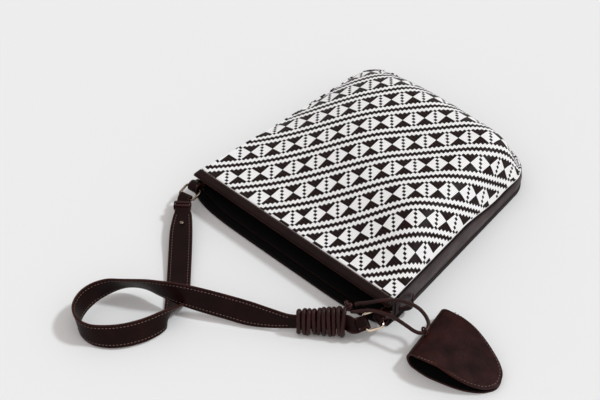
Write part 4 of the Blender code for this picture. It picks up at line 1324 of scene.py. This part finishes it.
# %% The strap's route
STRAP_WIDTH = 29 * MM
STRAP_END_WIDTH = 18 * MM
STRAP_FOLD_WIDTH = 15.5 * MM
STRAP_WALL = 2.6 * MM
STRAP_FOLD_REACH = 6.5 * MM
STRAP_FOLD_RADIUS = 4.3 * MM
FOLD_GAP = 0.8 * MM
FLOOR_GAP = 0.2 * MM
LEFT_FOLD_OFFSET = Vector((3.0, -6.9, -0.6)) * MM
LEFT_END_RUN = (0.64, -0.77, -0.08)
LEFT_END_ACROSS = (0.77, 0.64, 0)
LEFT_END_KEYS = 12
RIGHT_END_RUN = (-0.60, -0.80, -0.06)
WIDENING_AT_START = (0.5, 0.92)
WIDENING_AT_END = (0, 0, 0, 0.04, 0.6)
STRAP_STEPS = 6
STRAP_ROUTE = (
    ((-134, -61, 15.5), (0.74, 0.67, 0.00)),
    ((-119, -78, 12.5), (0.73, 0.68, 0.00)),
    ((-98, -100, 8.5), (0.73, 0.68, 0.00)),
    ((-79, -120, 5.5), (0.74, 0.67, 0.00)),
    ((-60, -140, 3.8), (0.73, 0.68, 0.03)),
    ((-44, -158, 4.6), (0.70, 0.70, 0.16)),
    ((-32, -176, 9.5), (0.42, 0.55, 0.72)),
    ((-28, -195, 14.6), (-0.20, 0.12, 0.97)),
    ((-33, -217, 14.4), (-0.40, 0.20, 0.89)),
    ((-43, -237, 14.2), (-0.42, 0.28, 0.86)),
    ((-56, -253, 14.2), (-0.40, 0.25, 0.88)),
    ((-73, -265, 14.6), (-0.28, 0.12, 0.95)),
    ((-92, -267, 15.0), (-0.16, 0.00, 0.98)),
    ((-108, -258, 15.4), (-0.22, -0.10, 0.97)),
    ((-117, -241, 16.0), (-0.28, -0.18, 0.94)),
    ((-118, -222, 17.0), (-0.24, -0.28, 0.93)),
    ((-111, -203, 19.0), (-0.10, -0.36, 0.93)),
    ((-98, -189, 22.0), (0.12, -0.42, 0.90)),
    ((-80, -178, 25.0), (0.22, -0.30, 0.93)),
    ((-60, -170, 26.6), (0.12, -0.04, 0.99)),
    ((-38, -160, 26.0), (-0.14, 0.24, 0.96)),
    ((-12, -145, 21.5), (-0.36, 0.41, 0.84)),
    ((14, -130, 17.0), (-0.43, 0.47, 0.77)),
    ((38, -118, 14.6), (-0.42, 0.46, 0.78)),
    ((61, -106, 14.2), (-0.32, 0.36, 0.88)),
    ((81, -94, 14.6), (-0.24, 0.27, 0.93)),
    ((97, -81, 15.2), (-0.26, 0.28, 0.92)),
    ((114, -66, 16.2), (-0.30, 0.32, 0.90)),
    ((130.5, -53, 17.6), (-0.50, 0.40, 0.77)),
)


print("the strap's route has", len(STRAP_ROUTE), "stations")

# %% [markdown]
# Three rules finish the route. The strap narrows towards both ends, it never sinks into the
# floor whatever its tilt, and each end is folded round its ring's bar with two layers that
# lie a small gap apart.

# %% The strap's stations


def above_floor(point, across, width):
    sine = abs(across.z)
    lowest = (width / 2 * sine + STRAP_WALL / 2 * math.sqrt(max(1 - sine * sine, 0))
              + FLOOR_GAP)
    return Vector((point.x, point.y, max(point.z, lowest)))


def strap_width(index):
    from_end = len(STRAP_ROUTE) - 1 - index
    if index < len(WIDENING_AT_START):
        return STRAP_END_WIDTH + (STRAP_WIDTH - STRAP_END_WIDTH) * WIDENING_AT_START[index]
    if from_end < len(WIDENING_AT_END):
        return STRAP_END_WIDTH + (STRAP_WIDTH - STRAP_END_WIDTH) * WIDENING_AT_END[from_end]
    return STRAP_WIDTH


def left_end_frame():
    centre, _, along = left_frame
    bar = centre - along * RING_BAR_SPACING / 2
    run = Vector(LEFT_END_RUN).normalized()
    return bar, bar + LEFT_FOLD_OFFSET, run, Vector(LEFT_END_ACROSS).normalized()


def strap_keys():
    bar, tail, run, across = left_end_frame()
    up = across.cross(run)
    if up.z < 0:
        up = -up
    layer = STRAP_WALL / 2 + FOLD_GAP / 2
    bent = left_frame[1].lerp(across, 0.08).normalized()
    half_bent = bent.lerp(across, 0.5).normalized()
    keys = [(tail + run * reach * MM - up * layer, across, STRAP_END_WIDTH)
            for reach in (20, 13, 6)]
    keys.append((tail + run * 0.5 * MM - up * layer, half_bent, STRAP_FOLD_WIDTH))
    keys += [(point, bent, STRAP_FOLD_WIDTH) for point in
             fold_keys(bar, bent, -run, STRAP_FOLD_RADIUS)]
    keys.append((tail + run * 0.5 * MM + up * layer, half_bent, STRAP_FOLD_WIDTH))
    keys += [(tail + run * reach * MM + up * layer, across, STRAP_END_WIDTH)
             for reach in (6, 12.5)]
    for index, (point, width_way) in enumerate(STRAP_ROUTE):
        width_way = Vector(width_way).normalized()
        width = strap_width(index)
        keys.append((above_floor(Vector(point) * MM, width_way, width), width_way, width))
    centre, bar_axis, along = right_frame
    bar = centre - along * RING_BAR_SPACING / 2
    away = Vector(RIGHT_END_RUN)
    away = (away - bar_axis * away.dot(bar_axis)).normalized()
    up = away.cross(bar_axis)
    if up.z < 0:
        up = -up
    root = bar + away * STRAP_FOLD_REACH
    keys += [(root + away * reach * MM - up * layer, -bar_axis, STRAP_END_WIDTH)
             for reach in (6.5, 1)]
    keys += [(point, -bar_axis, STRAP_FOLD_WIDTH) for point in
             fold_keys(bar, bar_axis, -away, STRAP_FOLD_RADIUS)]
    keys += [(root + away * reach * MM + up * layer, -bar_axis, STRAP_END_WIDTH)
             for reach in (1, 2.2)]
    return [(*point, *width_way, width) for point, width_way, width in keys]


def strap_stations():
    stations = []
    for sample in smooth_curve(strap_keys(), STRAP_STEPS):
        width_way = Vector(sample[3:6]).normalized()
        stations.append((above_floor(Vector(sample[:3]), width_way, sample[6]), width_way,
                         sample[6], STRAP_WALL))
    return stations


strap = strap_stations()
print("the strap runs through", len(strap), "sections")

# %% [markdown]
# The strip tool makes the strap, and stitches run along both edges of both faces between the
# keepers and the wrap. The folded end by the right ring has its own two short rows.

# %% Strap
STRAP_SEAM_INSET = 4.0 * MM
STRAP_END_SEAM_INSET = 2.2 * MM
settle(make_strip("strap_leather", strap, [STRAP_LEATHER, PAINTED_EDGE]), "strap",
       "brown_leather", "strap")
wrapped_from = (LEFT_END_KEYS + len(STRAP_ROUTE) - 4) * STRAP_STEPS
long_run = (LEFT_END_KEYS * STRAP_STEPS, wrapped_from)
strap_rows = [edge_row(strap, STRAP_SEAM_INSET, edge, face, first=long_run[0], last=long_run[1])
              for edge in (1, -1) for face in (1, -1)]
strap_rows += [edge_row(strap, STRAP_END_SEAM_INSET, edge, -1, first=-STRAP_STEPS, last=None)
               for edge in (1, -1)]
make_stitches("strap_stitches", strap_rows, "strap")

# %% [markdown]
# Two narrow bands keep the folded left end shut. Each is a closed strip that goes once round
# both layers of the strap, with rounded corners, so the strip tool makes it too.

# %% Keepers
KEEPER_WIDTH = 3.6 * MM
KEEPER_WALL = 1.6 * MM
KEEPER_CORNER = 1.4 * MM
KEEPER_CORNER_STEPS = 6
KEEPER_REACHES = (4.4 * MM, 9.4 * MM)


def make_keeper(name, centre, along, across, half_wide, half_high):
    up = across.cross(along).normalized()
    if up.z < 0:
        up = -up
    corner = KEEPER_CORNER
    points = []
    for side_u, side_v, start in ((1, 1, 0), (-1, 1, 90), (-1, -1, 180), (1, -1, 270)):
        for step in range(KEEPER_CORNER_STEPS + 1):
            turn = math.radians(start + 90 * step / KEEPER_CORNER_STEPS)
            points.append(centre + across * (side_u * (half_wide - corner) + corner * math.cos(turn))
                          + up * (side_v * (half_high - corner) + corner * math.sin(turn)))
    item = make_strip(name + "_leather", [(point, along, KEEPER_WIDTH, KEEPER_WALL)
                                          for point in points],
                      [CORD_LEATHER, PAINTED_EDGE], closed=True)
    settle(item, "strap", "brown_leather", name)


_, tail, run, across = left_end_frame()
for number, reach in enumerate(KEEPER_REACHES, 1):
    make_keeper(f"strap_keeper_{number}", tail + run * reach, run, across,
                STRAP_END_WIDTH / 2 + FIT_GAP + KEEPER_WALL / 2,
                STRAP_WALL + FOLD_GAP / 2 + FIT_GAP + KEEPER_WALL / 2)

# %% [markdown]
# The stud below the keepers is a small domed eyelet, and a rivet holds each mouth corner from
# inside. Both are round, so a profile of radius and height is turned about an axis.

# %% Stud and rivets
STUD_RADIUS = 2.6 * MM
STUD_PLACE = Vector((-125.5, -70.5, 17)) * MM
STUD_PROFILE = ((1.0, -0.7), (1.0, -0.2), (0.92, 0.35), (0.7, 0.68), (0.5, 0.4), (0.38, -0.1),
                (0.2, -0.2))
RIVET_RADIUS = 4 * MM
RIVET_HEIGHT = 2.2 * MM
RIVET_SHARES = (0, 0.2, 0.4, 0.6, 0.8, 0.96)


def turned_piece(name, profile, place, axis, material, sides=28):
    """A round piece turned about an axis from (radius, height) pairs."""
    aside = axis.orthogonal().normalized()
    other = axis.cross(aside)
    points = []
    for radius, height in profile:
        for side in range(sides):
            turn = 2 * math.pi * side / sides
            points.append(place + axis * height
                          + (aside * math.cos(turn) + other * math.sin(turn)) * radius)
    rows = len(profile)
    faces = [(row * sides + side, row * sides + (side + 1) % sides,
              (row + 1) * sides + (side + 1) % sides, (row + 1) * sides + side)
             for row in range(rows - 1) for side in range(sides)]
    faces += [tuple(reversed(range(sides))), tuple((rows - 1) * sides + s for s in range(sides))]
    item = make_object(name, points, faces, [material])
    face_outward(item)
    return item


stud_profile = [(share * STUD_RADIUS, height * MM) for share, height in STUD_PROFILE]
settle(turned_piece("strap_stud_metal", stud_profile, STUD_PLACE, Vector((0, 0, 1)),
                    SHADED_METAL),
       "strap", "pale_gold_metal", "strap_stud")
rivet_z = SIDE_DEPTH - FRONT_BINDING_WALL / 2 - FIT_GAP
rivet_x = MOUTH_WIDTH / 2 - END_BINDING_WALL - FIT_GAP - RIVET_RADIUS
rivet_profile = [(RIVET_RADIUS * math.cos(t * math.pi / 2), RIVET_HEIGHT * math.sin(t * math.pi / 2))
                 for t in RIVET_SHARES]
for side, name in ((-1, "left_rivet"), (1, "right_rivet")):
    place = Vector((side * rivet_x, -BINDING_WIDTH / 2, rivet_z))
    settle(turned_piece(name + "_metal", rivet_profile, place, Vector((0, 0, -1)), METAL),
           "bag", "pale_gold_metal", name)

# %% [markdown]
# Round cord is wound about ten times round the strap where it stands on edge. A helix would
# look like a spring, so every turn of this one leans and bulges a little differently, from a
# fixed seed, and it follows the strap's own stations.

# %% Cord wrap
WRAP_TURNS = 9.5
WRAP_START_STEP = 5
WRAP_HEIGHTS = (13.4 * MM, 15.2 * MM)
WRAP_DEPTHS = (4.4 * MM, 7.4 * MM)
WRAP_LEAN = 1.1
WRAP_LEAN_SHARE = 0.045
WRAP_BULGE = (-0.3, 1.5)
WRAP_SQUARENESS = 2.2
WRAP_SEED = 7
WRAP_POINTS_PER_TURN = 28
WRAP_FLOOR_GAP = 0.1 * MM


def wrap_line():
    last = LEFT_END_KEYS + len(STRAP_ROUTE) - 1
    steps = 12
    samples = smooth_curve(strap_keys()[last - 4:last + 2], steps)
    samples = samples[steps + WRAP_START_STEP:-steps]
    return resample([Vector(sample) for sample in samples], 60)


def make_wrap():
    chance = random.Random(WRAP_SEED)
    samples = wrap_line()
    per_turn = WRAP_POINTS_PER_TURN
    count = int(WRAP_TURNS * per_turn)
    turns = int(WRAP_TURNS) + 2
    lean = [chance.uniform(-WRAP_LEAN, WRAP_LEAN) for _ in range(turns)]
    bulge = [chance.uniform(*WRAP_BULGE) * MM for _ in range(turns)]
    points = []
    for index in range(count + 1):
        part = index / count
        turn_number = index / per_turn
        low_turn = int(turn_number)
        blend = turn_number - low_turn
        angle = 2 * math.pi * turn_number - math.pi / 2
        own_lean = lean[low_turn] * (1 - blend) + lean[low_turn + 1] * blend
        own_bulge = bulge[low_turn] * (1 - blend) + bulge[low_turn + 1] * blend
        place = part + own_lean * WRAP_LEAN_SHARE * math.sin(angle)
        place = min(max(place, 0), 1) * (len(samples) - 1)
        low = min(int(place), len(samples) - 2)
        mixed = samples[low].lerp(samples[low + 1], place - low)
        along = (Vector(samples[low + 1][:3]) - Vector(samples[low][:3])).normalized()
        across = Vector(mixed[3:6])
        across = (across - along * across.dot(along)).normalized()
        deep = along.cross(across)
        tall = WRAP_HEIGHTS[0] + (WRAP_HEIGHTS[1] - WRAP_HEIGHTS[0]) * part + own_bulge
        wide = WRAP_DEPTHS[0] + (WRAP_DEPTHS[1] - WRAP_DEPTHS[0]) * part + own_bulge
        squared = math.tanh(WRAP_SQUARENESS * math.sin(angle)) / math.tanh(WRAP_SQUARENESS)
        points.append(Vector(mixed[:3])
                      + across * ((tall - wide) * squared + wide * math.sin(angle))
                      + deep * wide * math.cos(angle))
    for point in points:
        point.z = max(point.z, WRAP_CORD_RADIUS + WRAP_FLOOR_GAP)
    item = make_tube("cord_wrap_turns", points, WRAP_CORD_RADIUS, CORD_LEATHER, sides=14)
    settle(item, "strap", "brown_leather", "cord_wrap")


make_wrap()

# %% [markdown]
# The wrap's cord is tied off in a small overhand knot, from which the charm hangs. A knot
# pulled tight is a trefoil line: three loops that pass over and under each other. Its rule
# is short, and here it is squeezed flat and turned so that its loops show from above.

# %% Knot
KNOT_CENTRE = Vector((123.3, -39.7, 28.9)) * MM
KNOT_SCALE = 2.1 * MM
KNOT_STEPS = 96
KNOT_LOOP = 1.9
KNOT_CORD_RADIUS = 1.15 * CORD_RADIUS


def make_knot():
    """An overhand knot: a trefoil line, flattened a little."""
    points = []
    for index in range(KNOT_STEPS):
        t = 2 * math.pi * index / KNOT_STEPS
        x = math.sin(t) + KNOT_LOOP * math.sin(2 * t)
        y = math.cos(t) - KNOT_LOOP * math.cos(2 * t)
        z = -math.sin(3 * t)
        points.append(KNOT_CENTRE + Vector((0.75 * x + 0.5 * z, 0.75 * x * -0.35 + 0.6 * z,
                                            y)) * KNOT_SCALE)
    item = make_tube("cord_knot_turns", points, KNOT_CORD_RADIUS, CORD_LEATHER, closed=True)
    settle(item, "strap", "brown_leather", "cord_knot")


make_knot()

# %% [markdown]
# The charm is a leaf of waxed leather folded at its spine. Its outside is brown, its inside
# black and its cut edge painted. Ribs run from the spine to an outline that was drawn from
# the photo. The lower flap lies flat, the upper one rises, and a half round fold joins them.

# %% The charm's ribs
CHARM_WALL = 2.8 * MM
CHARM_FLOOR_GAP = 0.1 * MM
CHARM_SPINE_START = Vector((214.7, -40.7, 12.5)) * MM
CHARM_SPINE_END = Vector((199.4, 39.3, 10.5)) * MM
CHARM_OUTLINE = (
    (232, -40.8, 26.5), (243, -40.2, 28.4), (256, -37.3, 28.2), (271, -33.2, 22.5),
    (285, -28, 16.5), (297, -20.8, 11.0), (307, -11.5, 7.0), (312.6, 1.5, 5.4),
    (307.5, 16.8, 5.8), (296, 26.5, 8.0), (281, 33.2, 11.5), (265, 38.6, 15.0),
    (249, 42.2, 18.0), (234, 43.4, 20.0), (219, 42.6, 20.4),
)
CHARM_LIFT_POWER = 1.5


def charm_ribs():
    """For each point of the outline: spine point, rib direction, edge and flap height."""
    floor = CHARM_WALL / 2 + CHARM_FLOOR_GAP
    outline = smooth_curve(CHARM_OUTLINE, 5)
    ribs = []
    for index, (x, y, upper) in enumerate(outline):
        part = index / (len(outline) - 1)
        root = CHARM_SPINE_START.lerp(CHARM_SPINE_END, part)
        edge = Vector((x, y, 0)) * MM
        rib = Vector((edge.x - root.x, edge.y - root.y, 0)).normalized()
        ribs.append((root, rib, root.z - floor, Vector((edge.x, edge.y, floor)), upper * MM))
    return ribs


def upper_flap(root, rib, radius, edge, upper, t):
    """A point of the upper flap, t from 0 at the fold to 1 at the edge."""
    high_root = Vector((root.x, root.y, edge.z + 2 * radius)) + rib * radius
    point = high_root.lerp(Vector((edge.x, edge.y, high_root.z)), t)
    point.z += (upper - high_root.z) * t ** CHARM_LIFT_POWER
    return point


print("the charm has", len(charm_ribs()), "ribs")

# %% [markdown]
# The leaf is one sheet over those ribs. Solidify gives it the leather's wall, with the lining
# inside and the painted edge as its rim, and a small Bevel softens the cut.

# %% Charm
FLAP_STEPS = 14
FOLD_STEPS = 14
CHARM_SOFT_EDGE = 0.7 * MM
CHARM_SEAM_INSET = 3.6 * MM
CHARM_STITCH_STAND = 0.1 * MM


def make_charm():
    flap_steps, bend_steps = FLAP_STEPS, FOLD_STEPS
    points = []
    for root, rib, radius, edge, upper in charm_ribs():
        low_root = Vector((root.x, root.y, edge.z)) + rib * radius
        for step in range(flap_steps):
            points.append(low_root.lerp(edge, 1 - step / flap_steps))
        for step in range(bend_steps + 1):
            turn = math.pi * step / bend_steps
            points.append(root + rib * radius * (1 - math.sin(turn))
                          - Vector((0, 0, radius * math.cos(turn))))
        for step in range(1, flap_steps + 1):
            points.append(upper_flap(root, rib, radius, edge, upper, step / flap_steps))
    columns = 2 * flap_steps + bend_steps + 1
    rows = len(points) // columns
    faces = [(row * columns + c, row * columns + c + 1, (row + 1) * columns + c + 1,
              (row + 1) * columns + c) for row in range(rows - 1) for c in range(columns - 1)]
    item = make_object("charm_leaf", points, faces, [CHARM_LEATHER, LINING, PAINTED_EDGE])
    wall = item.modifiers.new("Wall", "SOLIDIFY")
    wall.thickness = CHARM_WALL
    wall.offset = 0
    wall.material_offset = 1
    wall.material_offset_rim = 2
    edge = item.modifiers.new("Soft edge", "BEVEL")
    edge.width = CHARM_SOFT_EDGE
    edge.segments = 2
    edge.limit_method = "ANGLE"
    edge.angle_limit = math.radians(50)
    return settle(item, "charm", "brown_leather", "charm")


def charm_stitches():
    row = []
    for root, rib, radius, edge, upper in charm_ribs():
        span = (edge - root).length
        point = upper_flap(root, rib, radius, edge, upper, 1 - CHARM_SEAM_INSET / span)
        row.append(point + Vector((0, 0, CHARM_WALL / 2 + CHARM_STITCH_STAND)))
    make_stitches("charm_stitches", [row], "charm")


make_charm()
charm_stitches()

# %% [markdown]
# The charm hangs from a small eye on its fold, which the cord runs through. It is a ring of
# thinner round cord, so it is one closed tube.

# %% Charm eye
EYE_CENTRE = Vector((212.4, -8, 28.6)) * MM
EYE_SIDE = Vector((0.99, -0.12, 0)).normalized()
EYE_RADIUS = 4.6 * MM
EYE_WIRE_RADIUS = 1.3 * MM
EYE_STEPS = 36
eye_points = []
for index in range(EYE_STEPS):
    turn = 2 * math.pi * index / EYE_STEPS
    eye_points.append(EYE_CENTRE + (EYE_SIDE * math.cos(turn)
                                    + Vector((0, 0, 1)) * math.sin(turn)) * EYE_RADIUS)
settle(make_tube("charm_eye_loop", eye_points, EYE_WIRE_RADIUS, CORD_LEATHER, sides=10,
                 closed=True), "charm", "brown_leather", "charm_eye")

# %% [markdown]
# A short strip is arched over the gusset by the right mouth corner and sewn at both ends, so
# that a clip can hang from it. It leaves the gusset along a raised sine, which gives it flat
# feet and a round middle with a gap behind it.

# %% Gusset loop
LOOP_START_Y = 6 * MM
LOOP_END_Y = 34 * MM
LOOP_REACH = 8 * MM
LOOP_WIDTH = 8 * MM
LOOP_WALL = 1.8 * MM
LOOP_HEIGHT = 15 * MM
LOOP_POWER = 1.5
LOOP_STEPS = 40
loop_stations = []
for step in range(LOOP_STEPS + 1):
    part = step / LOOP_STEPS
    y = LOOP_START_Y + (LOOP_END_Y - LOOP_START_Y) * part
    arch = LOOP_REACH * math.sin(math.pi * part) ** LOOP_POWER
    stand = GUSSET_CROWN + FIT_GAP + LOOP_WALL / 2 + arch
    loop_stations.append((Vector((side_half_width(y, 0) + stand, y, LOOP_HEIGHT)),
                          Vector((0, 0, 1)), LOOP_WIDTH, LOOP_WALL))
settle(make_strip("gusset_loop_leather", loop_stations, [STRAP_LEATHER, PAINTED_EDGE]), "bag",
       "brown_leather", "gusset_loop")

# %% [markdown]
# The stage is a plain pale floor, wide enough to fill the view. It is matt, so that it only
# takes shadows, and it lies a hair below the bag, so that the two do not flicker.

# %% Floor
FLOOR_SIZE = 6.0
FLOOR_DROP = 0.2 * MM
floor_mesh = bpy.data.meshes.new("floor")
half = FLOOR_SIZE / 2
floor_mesh.from_pydata([(-half, -half, 0), (half, -half, 0), (half, half, 0), (-half, half, 0)],
                       [], [(0, 1, 2, 3)])
floor_material, _, floor_shader = new_material("pale_floor")
floor_shader.inputs["Base Color"].default_value = linear("#eeeeee")
floor_shader.inputs["Roughness"].default_value = 0.9
floor_shader.inputs["Specular IOR Level"].default_value = 0.1
floor_mesh.materials.append(floor_material)
floor = bpy.data.objects.new("floor", floor_mesh)
floor.location.z = -FLOOR_DROP
scene.collection.objects.link(floor)
print("floor", FLOOR_SIZE, "m wide")

# %% [markdown]
# A soft sun from the right and slightly behind throws the shadows to the left, and an even
# sky fills them. The sky lights the bag at a plain level, while the camera and every mirrored
# ray see it as the pale grey of the photo's background.

# %% Light
SUN_STRENGTH = 1.4
SUN_SOFTNESS = math.radians(8)
SUN_COLOUR = (0.94, 1.0, 1.03)
SKY_STRENGTH = 0.68
CAMERA_RIGHT = Vector((0.731, 0.682, 0))
CAMERA_AHEAD = Vector((-0.682, 0.731, 0))
SUN_RIGHT = 17
SUN_AHEAD = 4
SUN_UP = 20
to_light = CAMERA_RIGHT * SUN_RIGHT + CAMERA_AHEAD * SUN_AHEAD + Vector((0, 0, SUN_UP))
sun_data = bpy.data.lights.new("sun", "SUN")
sun_data.energy = SUN_STRENGTH
sun_data.angle = SUN_SOFTNESS
sun_data.color = SUN_COLOUR
sun = bpy.data.objects.new("sun", sun_data)
sun.rotation_euler = to_light.to_track_quat("Z", "Y").to_euler()
scene.collection.objects.link(sun)

world = bpy.data.worlds.new("studio")
scene.world = world
world.use_nodes = True
sky = world.node_tree
background = sky.nodes["Background"]
background.inputs["Color"].default_value = linear("#fffbf9")
background.inputs["Strength"].default_value = SKY_STRENGTH
seen = add_node(sky, "ShaderNodeBackground", {"Color": linear("#ededed"), "Strength": 1.0})
rays = add_node(sky, "ShaderNodeLightPath").outputs
mirrored = add_node(sky, "ShaderNodeMath", {
    0: rays["Is Glossy Ray"], 1: rays["Is Transmission Ray"]}, operation="MAXIMUM")
shown = add_node(sky, "ShaderNodeMath", {0: rays["Is Camera Ray"], 1: mirrored},
                 operation="MAXIMUM")
choose = add_node(sky, "ShaderNodeMixShader", {0: shown, 1: background, 2: seen})
sky.links.new(choose.outputs[0], sky.nodes["World Output"].inputs["Surface"])
scene.view_settings.view_transform = "Standard"
print("sun", SUN_STRENGTH, "and sky", SKY_STRENGTH)

# %% [markdown]
# Last, the helper shape is removed.

# %% Finish
bpy.data.objects.remove(STITCH)
